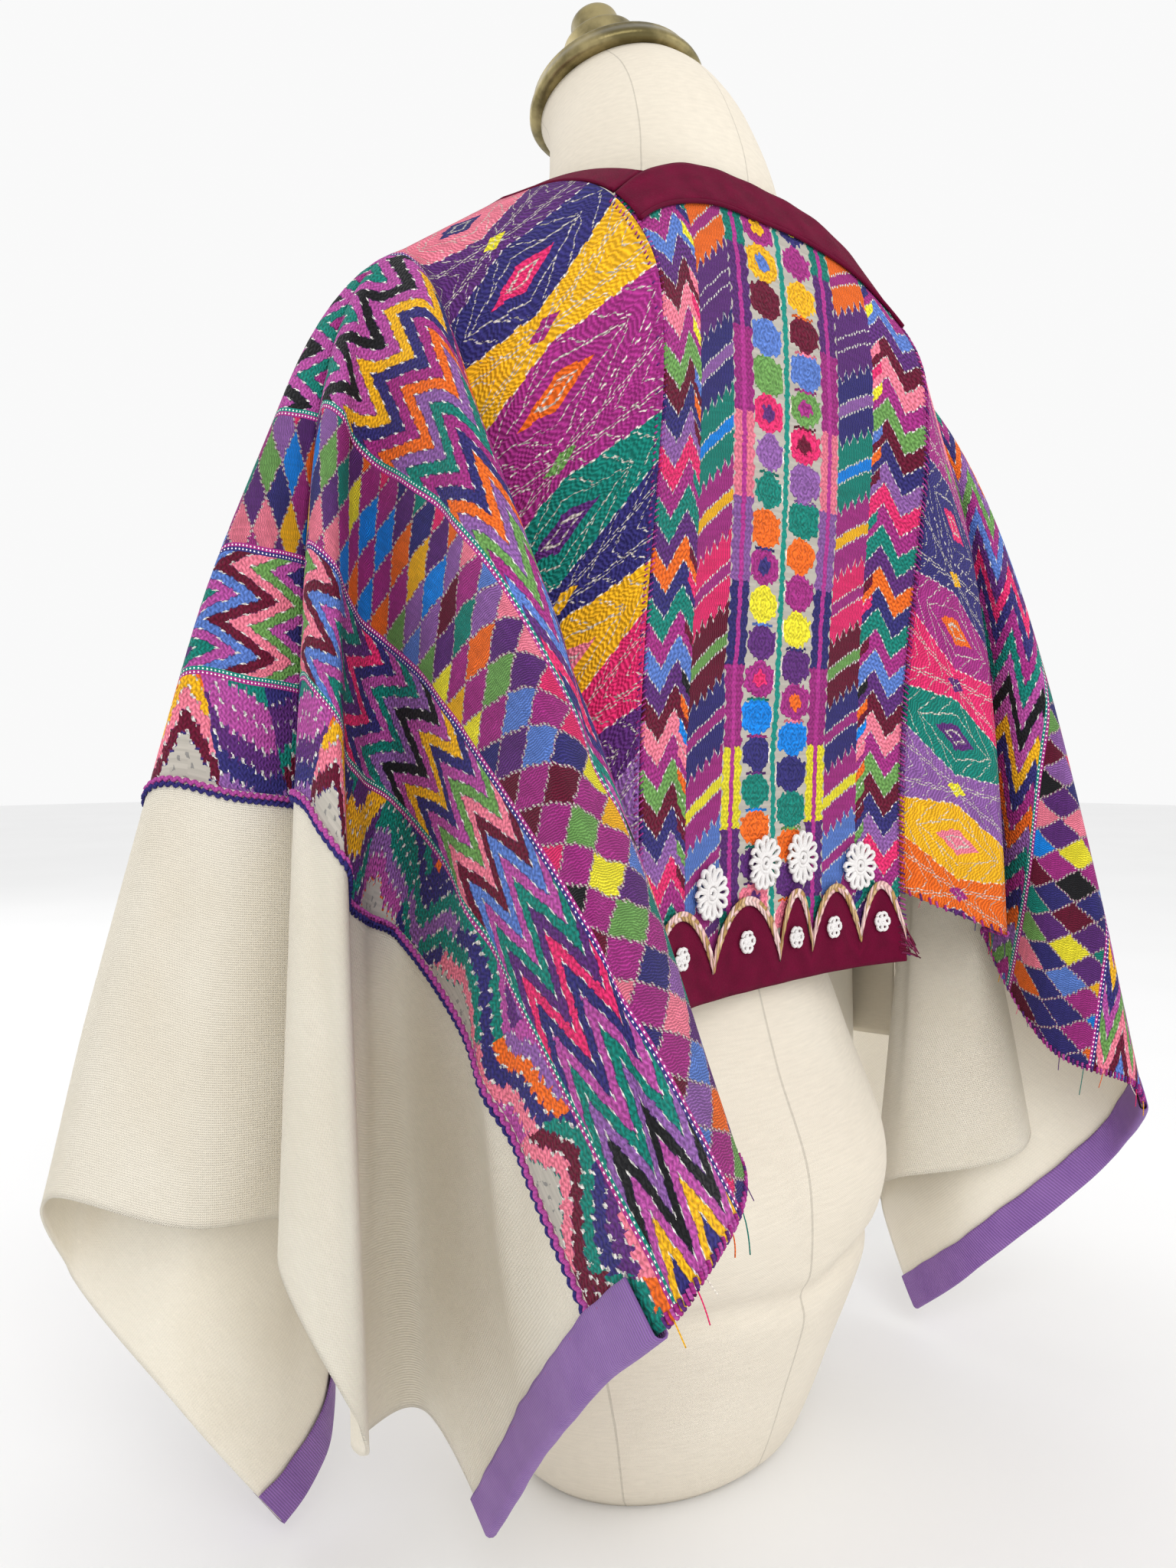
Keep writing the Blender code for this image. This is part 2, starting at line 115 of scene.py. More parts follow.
LEFT_BACK_RAYS = rays(
    (0.02, 0.13, 0.11, 0.04, -0.06, -0.01, 0.09, 0.14, 0.00, -0.05, 0.00),
    (0.00, 0.13, 0.22, 0.07, 0.01, 0.17, 0.36, 0.50, 0.44, 0.27, 0.05),
    (0.98, 0.97, 1.05, 1.03, 0.96, 0.94, 0.97, 1.03, 1.02, 0.97, 0.95),
)
LEFT_FRONT_RAYS = rays(
    (0.02, 0.14, 0.24, 0.16, 0.12, -0.03, -0.07, 0.10, 0.19, 0.08, 0.00),
    (0.00, 0.00, 0.11, 0.18, 0.01, 0.00, 0.16, 0.24, 0.10, 0.16, 0.05),
    (0.98, 0.97, 0.94, 0.99, 0.95, 1.02, 1.03, 1.06, 1.05, 1.03, 0.95),
)
RIGHT_BACK_RAYS = rays(
    (0.02, 0.10, -0.02, -0.12, -0.02, -0.04, 0.10, 0.02, -0.05, 0.06, 0.00),
    (0.00, 0.12, 0.18, 0.02, -0.08, 0.03, 0.15, 0.21, 0.10, -0.05, 0.05),
    (0.98, 1.03, 1.06, 1.02, 0.99, 1.03, 1.06, 1.07, 1.06, 0.92, 0.92),
)
RIGHT_FRONT_RAYS = rays(
    (0.02, 0.08, 0.24, 0.28, 0.12, 0.01, -0.09, 0.02, 0.01, -0.09, 0.00),
    (0.00, 0.15, 0.20, 0.04, 0.08, -0.04, 0.04, 0.18, 0.31, 0.24, 0.05),
    (0.98, 1.01, 1.04, 1.04, 1.02, 0.97, 1.00, 1.03, 1.05, 0.99, 0.94),
)

FORM_SECTIONS = (
    # height, half width, half depth, centre y
    (0.000, 0.100, 0.078, 0.010),
    (0.012, 0.112, 0.090, 0.010),
    (0.070, 0.138, 0.106, 0.014),
    (0.135, 0.168, 0.122, 0.016),
    (0.210, 0.186, 0.128, 0.012),
    (0.280, 0.172, 0.108, 0.004),
    (0.370, 0.136, 0.084, 0.002),
    (0.440, 0.122, 0.078, 0.002),
    (0.520, 0.134, 0.084, 0.002),
    (0.600, 0.146, 0.094, 0.000),
    (0.680, 0.156, 0.090, 0.002),
    (0.732, 0.160, 0.070, 0.004),
    (0.762, 0.158, 0.056, 0.000),
    (0.789, 0.149, 0.048, -0.004),
    (0.8025, 0.140, 0.050, -0.002),
    (0.812, 0.119, 0.057, 0.006),
    (0.820, 0.092, 0.067, 0.014),
    (0.845, 0.083, 0.070, 0.012),
    (0.875, 0.071, 0.065, 0.000),
    (0.899, 0.061, 0.058, -0.014),
    (0.921, 0.054, 0.053, -0.031),
)

NECK_LEAN = math.radians(20)
CAP_PROFILE = (
    # radius, height over the neck's top
    (0.0, 0.0230),
    (0.024, 0.0225),
    (0.044, 0.0200),
    (0.0545, 0.0165),
    (0.0575, 0.0130),
    (0.0575, 0.0),
    (0.0, 0.0),
)
KNOB_PROFILE = (
    # radius, height over the neck's top
    (0.0, 0.0780),
    (0.010, 0.0765),
    (0.016, 0.0715),
    (0.0175, 0.0640),
    (0.019, 0.0570),
    (0.024, 0.0520),
    (0.027, 0.0490),
    (0.027, 0.0240),
    (0.0, 0.0240),
)

# Sizes of the velvet, the braid and the flowers.
NECK_BAND_WIDTH = 0.027
NECK_RIDGE = 0.828
STRAP_TRIM = 0.012
NECK_BAND_THICK = 0.0014
HEM_BAND_THICK = 0.0014
HEM_TOP = TRIM_GAP + 0.0006 + HEM_BAND_THICK
CUSP_HEIGHT = 0.018
ARCH_RISE = 0.036
ARCH_ENDS = (-0.131, -0.090, -0.040, -0.006, 0.062, 0.131)
BRAID_WIDTH = 0.0055
BRAID_THICK = 0.0014
DAISY_PLACES = (
    # across from the centre line, height over the hem
    (0.063, 0.062),
    (0.010, 0.0745),
    (-0.029, 0.0750),
    (-0.090, 0.067),
)
BLOSSOM_PLACES = (
    # across from the centre line, height over the hem
    (0.096, 0.030),
    (0.029, 0.030),
    (-0.022, 0.027),
    (-0.062, 0.029),
    (-0.110, 0.029),
)
DAISY_RADIUS = 0.0155
DAISY_PETALS = 12
BLOSSOM_RADIUS = 0.0072
BLOSSOM_PETALS = 6
FLOWER_YARN = 0.088

# Sizes of the ribbon round each side panel's end edge.
RIBBON_FLAP = 0.021
RIBBON_THICK = 0.0009
RIBBON_START = 0.352
RIBBON_GAP = 0.0008

# Cells of the fine grids, along their two measures.
WING_CELLS = (112, 134)
PANEL_CELLS = (64, 112)
RIBBON_CELLS = (30, 150)

# How much a crease wavers over its length, and where on the form the cover's seams run, in radians.
CREASE_BEND = 0.12
CREASE_WAVES = 5.0
CREASE_PHASE = 40
FORM_GIRTH_UNIT = 0.16
FORM_SEAMS = (0.64, 1.5708, 2.50, 3.78, 4.7124, 5.64)


class Half(Enum):
    """Which side of the wearer's front-back plane a piece hangs on."""

    BACK = 1
    FRONT = -1


class Side(Enum):
    """Which side of the wearer a piece hangs on."""

    LEFT = 1
    RIGHT = -1


def table_values(rows: Sequence[Row], keys: Array) -> Array:
    """Smooth values of a table's later columns at keys of its first column.

    Args:
        rows: The table, sorted by its first column.
        keys: Values of the first column, of any shape.

    Returns:
        An array of the keys' shape with one more axis, for the later columns.
    """
    data = np.array(rows, dtype=float)
    xs, ys = data[:, 0], data[:, 1:]
    keys = np.clip(keys, xs[0], xs[-1])
    low = np.clip(np.searchsorted(xs, keys) - 1, 0, len(xs) - 2)
    high = low + 1
    before, after = np.maximum(low - 1, 0), np.minimum(low + 2, len(xs) - 1)
    span = (xs[high] - xs[low])[..., None]
    slope_low = (ys[high] - ys[before]) / (xs[high] - xs[before])[..., None] * span
    slope_high = (ys[after] - ys[low]) / (xs[after] - xs[low])[..., None] * span
    t = (keys - xs[low])[..., None] / span
    return (
        ys[low] * (2 * t**3 - 3 * t**2 + 1)
        + ys[high] * (3 * t**2 - 2 * t**3)
        + slope_low * (t**3 - 2 * t**2 + t)
        + slope_high * (t**3 - t**2)
    )


def with_length(points: Sequence[Row]) -> list[Row]:
    """Adds to each (y, z) point its distance along the line, as the first column.

    Args:
        points: The line.

    Returns:
        Rows of distance, y and z.
    """
    rows = [(0.0, *points[0])]
    for last, point in zip(points, points[1:]):
        rows.append((rows[-1][0] + math.dist(last, point), *point))
    return rows


SEAM_ROWS = with_length(SEAM_LINE)
CENTRE_ROWS = with_length(CENTRE_LINE)


def seam_points(side: int, half: int, u: Array) -> Array:
    """Points of the seam between the centre panel and a wing.

    Args:
        side: 1 on the wearer's left and -1 on their right.
        half: 1 at the back and -1 in front.
        u: Distance from the shoulder.

    Returns:
        Points.
    """
    yz = table_values(SEAM_ROWS, u)
    x = np.full(u.shape, side * CENTRE_HALF)
    return np.stack([x, half * yz[..., 0], yz[..., 1]], axis=-1)


def smooth_step(low: float, high: float, value: Array) -> Array:
    """0 below low and 1 above high, with a soft slope between."""
    t = np.clip((value - low) / (high - low), 0, 1)
    return t * t * (3 - 2 * t)


def crease_height(creases: Sequence[Row], a: Array, b: Array) -> Array:
    """Height over the cloth's plain form of its listed troughs and ridges.

    Args:
        creases: Rows of start a, start b, end a, end b, half width and height.
        a: First cloth measure.
        b: Second cloth measure.

    Returns:
        Heights, positive outwards.
    """
    total = np.zeros(a.shape)
    for a0, b0, a1, b1, width, height in creases:
        length = math.hypot(a1 - a0, b1 - b0)
        along = ((a - a0) * (a1 - a0) + (b - b0) * (b1 - b0)) / length
        bend = CREASE_BEND * width * np.sin(along / length * CREASE_WAVES + a0 * CREASE_PHASE)
        across = ((a - a0) * (b1 - b0) - (b - b0) * (a1 - a0)) / length + bend
        start = smooth_step(-0.1 * length, 0.25 * length, along)
        end = smooth_step(0.75 * length, 1.1 * length, along)
        total += height * (start * (1 - end)) * np.exp(-((across / width) ** 2))
    return total


@dataclass
class Wing:
    """Half of one side panel, hanging from the shoulder.

    Attributes:
        name: Its name in the frame, without the wing_ prefix.
        side: Left or right.
        half: Back or front.
        apex: The shoulder point that its rays start from.
        turn_along: How fast the rays near the panel seam turn down.
        rays: Rows of cloth angle, lean out, lean along and reach.
        creases: Rows of start u, start v, end u, end v, half width and height.
    """

    name: str
    side: Side
    half: Half
    apex: tuple[float, float, float]
    turn_along: float
    rays: Sequence[Row]
    creases: Sequence[Row] = field(default_factory=tuple)

    @property
    def outward(self) -> int:
        """Sign that turns the u by v normal to the outside of the cloth."""
        return -self.side.value * self.half.value

    def ray_points(self, angle: Array, distance: Array) -> Array:
        """Points on the rays along which the cloth hangs from the apex.

        Args:
            angle: The ray's angle in the flat cloth, in degrees from the shoulder seam.
            distance: Distance from the apex along the cloth.

        Returns:
            Points.
        """
        lean_out, lean_along, reach = np.moveaxis(table_values(self.rays, angle), -1, 0)
        turn = np.radians(angle)
        share = np.sin(turn) ** 2
        start = START_LEAN_OUT + (START_LEAN_ALONG - START_LEAN_OUT) * share
        start_out, start_along = start * np.cos(turn), start * np.sin(turn)
        turn_length = TURN_LENGTH_OUT + (self.turn_along - TURN_LENGTH_OUT) * share
        step = distance / RAY_STEPS
        points = np.zeros(distance.shape + (3,)) + np.array(self.apex)
        for i in range(RAY_STEPS):
            fade = np.exp(-(i + 0.5) * step / turn_length)
            out = lean_out + (start_out - lean_out) * fade
            along = lean_along + (start_along - lean_along) * fade
            span = step * (1 - (1 - reach) * (1 - fade))
            points[..., 0] += self.side.value * span * out
            points[..., 1] += self.half.value * span * along
            points[..., 2] -= span * np.sqrt(np.maximum(1 - out**2 - along**2, 1e-6))
        return points

    def surface(self, u: Array, v: Array) -> Array:
        """Points of the cloth's outer face.

        Args:
            u: Distance from the shoulder seam.
            v: Distance from the panel seam.

        Returns:
            Points.
        """
        u = np.maximum(u, 0.0)
        out = v - APEX_V
        past = np.maximum(out, 0.0)
        hung = self.ray_points(np.degrees(np.arctan2(u, past)), np.hypot(u, past))
        seam = seam_points(self.side.value, self.half.value, u)
        seam[..., 0] += LEFT_SEAM_GAP if self.side is Side.LEFT else -RIGHT_SEAM_GAP
        share = np.clip(v / APEX_V, 0, 1)[..., None]
        return np.where((out >= 0)[..., None], hung, seam + (hung - seam) * share)

    def dressed(self, u: Array, v: Array) -> Array:
        """The outer face with its creases."""
        keep = smooth_step(0.0, 0.03, u) * smooth_step(0.0, 0.03, v) * (1 - 0.4 * smooth_step(0.48, 0.52, u))
        return lift(self.surface, self.outward, u, v, crease_height(self.creases, u, v) * keep)


@dataclass
class Panel:
    """The centre panel's back or front.

    Attributes:
        name: back or front.
        half: Which of the two.
        creases: Rows of start x, start s, end x, end s, half width and height.
    """

    name: str
    half: Half
    creases: Sequence[Row] = field(default_factory=tuple)

    @property
    def outward(self) -> int:
        """Sign that turns the x by s normal to the outside of the cloth."""
        return self.half.value

    def surface(self, x: Array, s: Array) -> Array:
        """Points of the cloth's outer face.

        Args:
            x: Distance across from the centre line.
            s: Distance down from the neck edge.

        Returns:
            Points.
        """
        share = s / PANEL_LENGTH
        edge = seam_points(1, self.half.value, NECK_CORNER + share * (SEAM_ROWS[-1][0] - NECK_CORNER))
        middle = table_values(CENTRE_ROWS, share * CENTRE_ROWS[-1][0])
        middle_y, middle_z = self.half.value * middle[..., 0], middle[..., 1]
        side_share = np.abs(x / CENTRE_HALF) ** 3
        y = middle_y + (edge[..., 1] - middle_y) * side_share
        z = middle_z + (edge[..., 2] - middle_z) * side_share
        return np.stack([x + 0 * y, y, z], axis=-1)

    def dressed(self, x: Array, s: Array) -> Array:
        """The outer face with its creases, flat under the bands.

        Args:
            x: Distance across from the centre line.
            s: Distance down from the neck edge.

        Returns:
            Points.
        """
        keep = 1 - smooth_step(0.9, 1.0, np.abs(x / CENTRE_HALF))
        keep = keep * smooth_step(0.03, 0.07, s) * (1 - smooth_step(0.36, 0.40, s))
        return lift(self.surface, self.outward, x, s, crease_height(self.creases, x, s) * keep)


def unit(vectors: Array) -> Array:
    """The vectors at length 1."""
    return vectors / np.maximum(np.linalg.norm(vectors, axis=-1, keepdims=True), 1e-12)


def normals(surface: Surface, outward: int, a: Array, b: Array) -> Array:
    """Unit normals of a surface.

    Args:
        surface: The surface.
        outward: Sign that turns the a by b normal outwards.
        a: First cloth measure.
        b: Second cloth measure.

    Returns:
        Normals.
    """
    along_a = surface(a + NORMAL_STEP, b) - surface(a - NORMAL_STEP, b)
    along_b = surface(a, b + NORMAL_STEP) - surface(a, b - NORMAL_STEP)
    return unit(np.cross(along_a, along_b) * outward)


def lift(surface: Surface, outward: int, a: Array, b: Array, height: Union[Array, float]) -> Array:
    """Points of a surface moved out along its normals.

    Args:
        surface: The surface.
        outward: Sign that turns the a by b normal outwards.
        a: First cloth measure.
        b: Second cloth measure.
        height: How far each point moves.

    Returns:
        Points.
    """
    height = np.asarray(height) + np.zeros(a.shape)
    return surface(a, b) + normals(surface, outward, a, b) * height[..., None]


Operand = Union["Value", float]


def math_method(operation: str, swapped: bool = False) -> Callable[["Value", Operand], "Value"]:
    """Makes the method of an operator.

    Args:
        operation: The math node's operation.
        swapped: Whether the other operand comes first.

    Returns:
        The method.
    """

    def method(value: "Value", other: Operand) -> "Value":
        """Adds the math node for this value and another operand."""
        return value.pen.math(operation, *((other, value) if swapped else (value, other)))

    return method


class Value:
    """A shader number with operators, so that a pattern reads as arithmetic."""

    __add__ = __radd__ = math_method("ADD")
    __mul__ = __rmul__ = math_method("MULTIPLY")
    __sub__ = math_method("SUBTRACT")
    __rsub__ = math_method("SUBTRACT", swapped=True)
    __truediv__ = math_method("DIVIDE")
    __lt__ = math_method("LESS_THAN")
    __gt__ = math_method("GREATER_THAN")
    most = math_method("MAXIMUM")

    def __init__(self, pen: "Pen", socket: bpy.types.NodeSocket) -> None:
        """Holds one output socket of a material."""
        self.pen = pen
        self.socket = socket

    def __abs__(self) -> "Value":
        """Size without its sign."""
        return self.pen.math("ABSOLUTE", self)

    def floor(self) -> "Value":
        """Whole part."""
        return self.pen.math("FLOOR", self)

    def sine(self) -> "Value":
        """Sine of radians."""
        return self.pen.math("SINE", self)

    def wave(self, period: float) -> "Value":
        """Sine wave of this period, from -1 to 1."""
        return (self * (2 * math.pi / period)).sine()

    def ripple(self, period: float) -> "Value":
        """Sine wave of this period, from 0 to 1."""
        return self.wave(period) * 0.5 + 0.5

    def wrapped(self, period: float) -> "Value":
        """Remainder from 0 to the period, also for negative values."""
        return self.pen.math("WRAP", self, period, 0.0)

    def triangle(self, period: float) -> "Value":
        """Triangle wave from 0 to half the period."""
        return self.pen.math("PINGPONG", self, period / 2)

    def off_middle(self) -> "Value":
        """Distance from the middle of its whole step, from 0 to 0.5."""
        return abs(self.wrapped(1.0) - 0.5)

    def near(self, place: float, reach: float) -> "Value":
        """1 within reach of a place, else 0."""
        return abs(self - place) < reach

    def between(self, low: Operand, high: Operand) -> "Value":
        """1 from low to high, else 0."""
        return (self > low) * (self < high)

    def dashes(self, pitch: float, share: float = 0.6) -> "Value":
        """1 on the dashes of a broken line, which take this share of the pitch along it."""
        return self.wrapped(pitch) < pitch * share

    def stepped(self, pitch: float) -> "Value":
        """The value at the middle of its step, so that an edge goes in steps."""
        return ((self / pitch).floor() + 0.5) * pitch

    def soft(self, low: float, high: float) -> "Value":
        """0 below low and 1 above high, with a smooth slope."""
        inputs = {"Value": self, "From Min": low, "From Max": high}
        return self.pen.node("ShaderNodeMapRange", inputs, interpolation_type="SMOOTHSTEP")


Colour = tuple[float, float, float]


class Pen:
    """Adds nodes to one material."""

    def __init__(self, material: Material) -> None:
        """Takes the material that the nodes go into."""
        self.tree = material.node_tree

    def node(self, kind: str, inputs: dict, output: Union[str, int] = 0, **settings) -> Value:
        """Adds a node.

        Args:
            kind: The node's class.
            inputs: Socket names or numbers, with a Value, a number or a vector for each.
            output: The output that is wanted.
            **settings: The node's own properties.

        Returns:
            The output socket's value.
        """
        node = self.tree.nodes.new(kind)
        for name, value in settings.items():
            setattr(node, name, value)
        for name, value in inputs.items():
            self.connect(node.inputs[name], value)
        return Value(self, node.outputs[output])

    def connect(self, target: bpy.types.NodeSocket, value: Union[Value, float, Row]) -> None:
        """Links a value to a socket, or sets a constant on it.

        Args:
            target: The socket.
            value: A Value, or the socket's own kind of constant.
        """
        if isinstance(value, Value):
            self.tree.links.new(target, value.socket)
        else:
            target.default_value = value

    def math(self, operation: str, *values: Operand) -> Value:
        """Adds a math node."""
        return self.node("ShaderNodeMath", dict(enumerate(values)), operation=operation)

    def uv(self) -> tuple[Value, Value]:
        """The cloth measure, in metres.

        Returns:
            Both measures.
        """
        coords = self.node("ShaderNodeUVMap", {}, uv_map="cloth")
        split = self.node("ShaderNodeSeparateXYZ", {"Vector": coords})
        return split, Value(self, split.socket.node.outputs[1])

    def vector(self, x: Operand, y: Operand, z: Operand = 0.0) -> Value:
        """A vector of three numbers."""
        return self.node("ShaderNodeCombineXYZ", {"X": x, "Y": y, "Z": z})

    def noise(self, vector: Optional[Value], scale: float, detail: float = 2.0) -> Value:
        """Soft noise from 0 to 1.

        Args:
            vector: Where it is read, or nothing for the object's own space.
            scale: Its spots per metre.
            detail: How many finer layers it has.

        Returns:
            The noise.
        """
        if vector is None:
            vector = self.node("ShaderNodeTexCoord", {}, "Object")
        inputs = {"Vector": vector, "Scale": scale, "Detail": detail, "Roughness": 0.5}
        return self.node("ShaderNodeTexNoise", inputs)

    def chance(self, x: Operand, y: Operand, seed: Operand) -> Value:
        """A fixed random number from 0 to 1 for each whole x and y."""
        inputs = {"Vector": self.vector(x, y, seed)}
        return self.node("ShaderNodeTexWhiteNoise", inputs, noise_dimensions="3D")

    def palette(self, pick: Value, colours: Sequence[Colour]) -> Value:
        """One of the colours, by a number from 0 to 1.

        Args:
            pick: The number.
            colours: The colours, in even steps.

        Returns:
            The colour.
        """
        ramp = self.node("ShaderNodeValToRGB", {"Fac": pick})
        band = ramp.socket.node.color_ramp
        band.interpolation = "CONSTANT"
        while len(band.elements) < len(colours):
            band.elements.new(0.5)
        for i, colour in enumerate(colours):
            band.elements[i].position = i / len(colours)
            band.elements[i].color = (*colour, 1.0)
        return ramp

    def in_order(self, number: Value, order: Sequence[Colour]) -> Value:
        """The colour at a whole number's place in an order, which repeats past its end."""
        return self.palette((number.wrapped(len(order)) + 0.5) / len(order), order)

    def mix(self, share: Operand, below: Union[Value, Colour], above: Union[Value, Colour]) -> Value:
        """Blends two colours.

        Args:
            share: 0 for the first and 1 for the second.
            below: The first colour.
            above: The second colour.

        Returns:
            The colour.
        """
        colours = {
            number: colour if isinstance(colour, Value) else (*colour, 1.0)
            for number, colour in ((6, below), (7, above))
        }
        return self.node("ShaderNodeMix", {0: share, **colours}, 2, data_type="RGBA")

    def tinted(self, colour: Value, amount: Value) -> Value:
        """The colour made darker or lighter by a factor."""
        inputs = {"Hue": 0.5, "Saturation": 1.0, "Value": amount, "Fac": 1.0, "Color": colour}
        return self.node("ShaderNodeHueSaturation", inputs)


PINK = (0.88, 0.21, 0.30)
ROSE = (0.78, 0.025, 0.15)
MAGENTA = (0.36, 0.026, 0.215)
ORCHID = (0.46, 0.075, 0.34)
PURPLE = (0.105, 0.024, 0.175)
LILAC = (0.27, 0.11, 0.37)
TEAL = (0.004, 0.21, 0.165)
NAVY = (0.032, 0.027, 0.165)
BLUE = (0.003, 0.22, 0.75)
SKY = (0.10, 0.20, 0.58)
YELLOW = (0.90, 0.46, 0.01)
LEMON = (0.86, 0.76, 0.03)
ORANGE = (0.86, 0.145, 0.012)
BURGUNDY = (0.13, 0.004, 0.026)
BLACK = (0.010, 0.010, 0.012)
GREEN = (0.15, 0.34, 0.085)
CREAM = (0.86, 0.80, 0.70)
WHITE = (0.90, 0.87, 0.82)

BOLD = (PINK, NAVY, MAGENTA, TEAL, YELLOW, PURPLE, SKY)
GROUNDS = (TEAL, PURPLE, YELLOW, MAGENTA, NAVY, ROSE, LILAC, ORANGE)
HEARTS = (NAVY, ROSE, ORANGE, PURPLE, PINK, YELLOW, MAGENTA)
EYES = (PURPLE, LEMON, MAGENTA, GREEN, YELLOW)
FIRST_ZIGZAG = (
    NAVY, MAGENTA, ORANGE, LILAC, TEAL, MAGENTA, NAVY, ORANGE, LILAC, GREEN, MAGENTA, SKY, PURPLE, ROSE,
    NAVY, MAGENTA, TEAL, ORCHID, BLACK, ORCHID, YELLOW,
)
SECOND_ZIGZAG = (
    PURPLE, ROSE, NAVY, ORCHID, TEAL, LILAC, BLACK, ORCHID, YELLOW, NAVY, ORCHID, GREEN, PINK, BURGUNDY,
    SKY, ORCHID, TEAL,
)
LATTICE = (PINK, TEAL, YELLOW, ROSE, SKY, BLACK, LEMON, GREEN, ORANGE, NAVY, BLUE, BURGUNDY, PINK, ORANGE)
QUIET = (MAGENTA, PURPLE, MAGENTA, LILAC, MAGENTA, NAVY, PURPLE)
MEANDER = (TEAL, ORANGE, NAVY, PINK, BURGUNDY, YELLOW, ORCHID, PURPLE, PINK, TEAL, LILAC, NAVY)
KNOTS = (
    NAVY, MAGENTA, YELLOW, BURGUNDY, SKY, GREEN, ROSE, LILAC, TEAL, ORANGE, MAGENTA, LEMON, PURPLE,
    MAGENTA, BLUE, NAVY, TEAL, ORANGE, PURPLE, PINK,
)
RAILS = (TEAL, PURPLE, MAGENTA, PINK, LILAC, NAVY, MAGENTA, LEMON, PURPLE)
COMBS = (SKY, MAGENTA, ORANGE, PURPLE, NAVY, TEAL, MAGENTA, ROSE, BURGUNDY, NAVY, MAGENTA)
COMB_LINES = (MAGENTA, GREEN, MAGENTA, LEMON, MAGENTA, PURPLE, LILAC, BLUE, YELLOW)
TEETH = (
    BURGUNDY, NAVY, LILAC, ROSE, MAGENTA, TEAL, PURPLE, ORANGE, NAVY, TEAL, MAGENTA, SKY, PURPLE,
    BURGUNDY, PINK, MAGENTA, GREEN,
)

# The dark and the light shade of each plain material.
COTTON = ((0.76, 0.69, 0.56), (0.88, 0.83, 0.72))
# The velvet's light shade is painted sheen on its worn streaks.
VELVET = ((0.065, 0.0009, 0.014), (0.185, 0.003, 0.036))
RIBBON = ((0.20, 0.085, 0.33), (0.33, 0.17, 0.47))
CROCHET = ((0.74, 0.71, 0.70), (0.92, 0.90, 0.88))
LINEN = ((0.68, 0.61, 0.50), (0.80, 0.74, 0.63))
BRASS = ((0.14, 0.115, 0.05), (0.40, 0.33, 0.16))
FLOOR = ((0.86, 0.86, 0.86), (0.90, 0.90, 0.90))

# The shades of the braid's threads.
BRAID = ((0.80, 0.50, 0.46), (0.45, 0.27, 0.10), (0.86, 0.62, 0.58), (0.62, 0.42, 0.22))

# Sizes of the brocade's threads, in metres.
STRAND_WIDTH = 0.0014
STRAND_LENGTH = 0.013
STITCH_ROW = 0.0031
STITCH_PITCH = 0.0036
FLOAT_PITCH = 0.00135
WING_THREAD = 0.0021
PANEL_THREAD = 0.0022

# Where the brocade ends on a side panel, from the panel seam.
PLAIN_START = 0.3955


@dataclass(frozen=True)
class Look:
    """What a pattern gives to a surface.

    Attributes:
        colour: Its colour.
        relief: Its relief, from 0 to 1.
        rough: Its roughness, or nothing where that follows from the relief.
    """

    colour: Value
    relief: Value
    rough: Optional[Value] = None

    def under(self, share: Value, top: "Look") -> "Look":
        """This look where share is 0, and another one where it is 1."""
        relief = self.relief + (top.relief - self.relief) * share
        return Look(share.pen.mix(share, self.colour, top.colour), relief)


Pattern = Callable[[Pen], Look]


@dataclass(frozen=True)
class Finish:
    """A surface's plain part and the pattern drawn on it.

    Attributes:
        name: The material's name.
        pattern: Draws the colour and the relief.
        roughness: Its mean roughness.
        metallic: 1 for metal.
        sheen: How much fuzz catches light at its edge.
        bump: Height of its relief, in metres.
        specular: Strength of its reflection.
    """

    name: str
    pattern: Pattern
    roughness: float
    metallic: float = 0.0
    sheen: float = 0.0
    bump: float = 0.0002
    specular: float = 0.2

    def make(self) -> Material:
        """Makes the material.

        Returns:
            A Principled material whose colour, roughness and bump come from the pattern.
        """
        material = bpy.data.materials.new(self.name)
        material.use_nodes = True
        shader = material.node_tree.nodes["Principled BSDF"]
        pen = Pen(material)
        look = self.pattern(pen)
        bump = {"Height": look.relief, "Distance": self.bump, "Strength": 0.9}
        inputs = {
            "Base Color": look.colour,
            "Roughness": look.rough or self.roughness + (look.relief - 0.5) * -0.12,
            "Metallic": self.metallic,
            "Sheen Weight": self.sheen,
            "Specular IOR Level": self.specular,
            "Normal": pen.node("ShaderNodeBump", bump),
        }
        for name, value in inputs.items():
            pen.connect(shader.inputs[name], value)
        return material


def worn_and_groove_shaded(look: Look, a: Value, b: Value) -> Look:
    """Thick threads with painted shade darkening the grooves between them, each thread's own shade and wide
    faded areas.

    Args:
        look: The brocade.
        a: First cloth measure.
        b: Second cloth measure.

    Returns:
        The brocade as worn, with painted shade in the grooves between its threads.
    """
    pen = a.pen
    # Painted shade: the colour is darkened where the relief is low, in the grooves between the threads.
    colour = pen.tinted(look.colour, 0.48 + look.relief * 0.82)
    strand = pen.chance((b / STRAND_WIDTH).floor(), (a / STRAND_LENGTH).floor(), 3.0)
    fade = pen.noise(pen.vector(a, b), 9.0, 3.0)
    return Look(pen.tinted(colour, 0.80 + strand * 0.20 + fade * 0.30), look.relief)


def uneven(value: Value, row: Value, piece: Value, seed: float, size: float) -> Value:
    """The value shifted by up to a size, by a fixed random share for each thread of the other measure."""
    return value + value.pen.chance(row.floor(), piece, seed) * size


def chunky(a: Value, b: Value) -> Value:
    """Relief of thick slanted stitches whose rows lean in turn.

    Args:
        a: Distance along the rows.
        b: Distance across them.

    Returns:
        Relief from 0 to 1.
    """
    row = b / STITCH_ROW
    lean = row.floor().wrapped(2.0) * 2 - 1
    strand = (a + lean * b * 0.7).ripple(STITCH_PITCH)
    dome = 1 - row.off_middle() * 2
    return strand * 0.55 + dome * 0.45


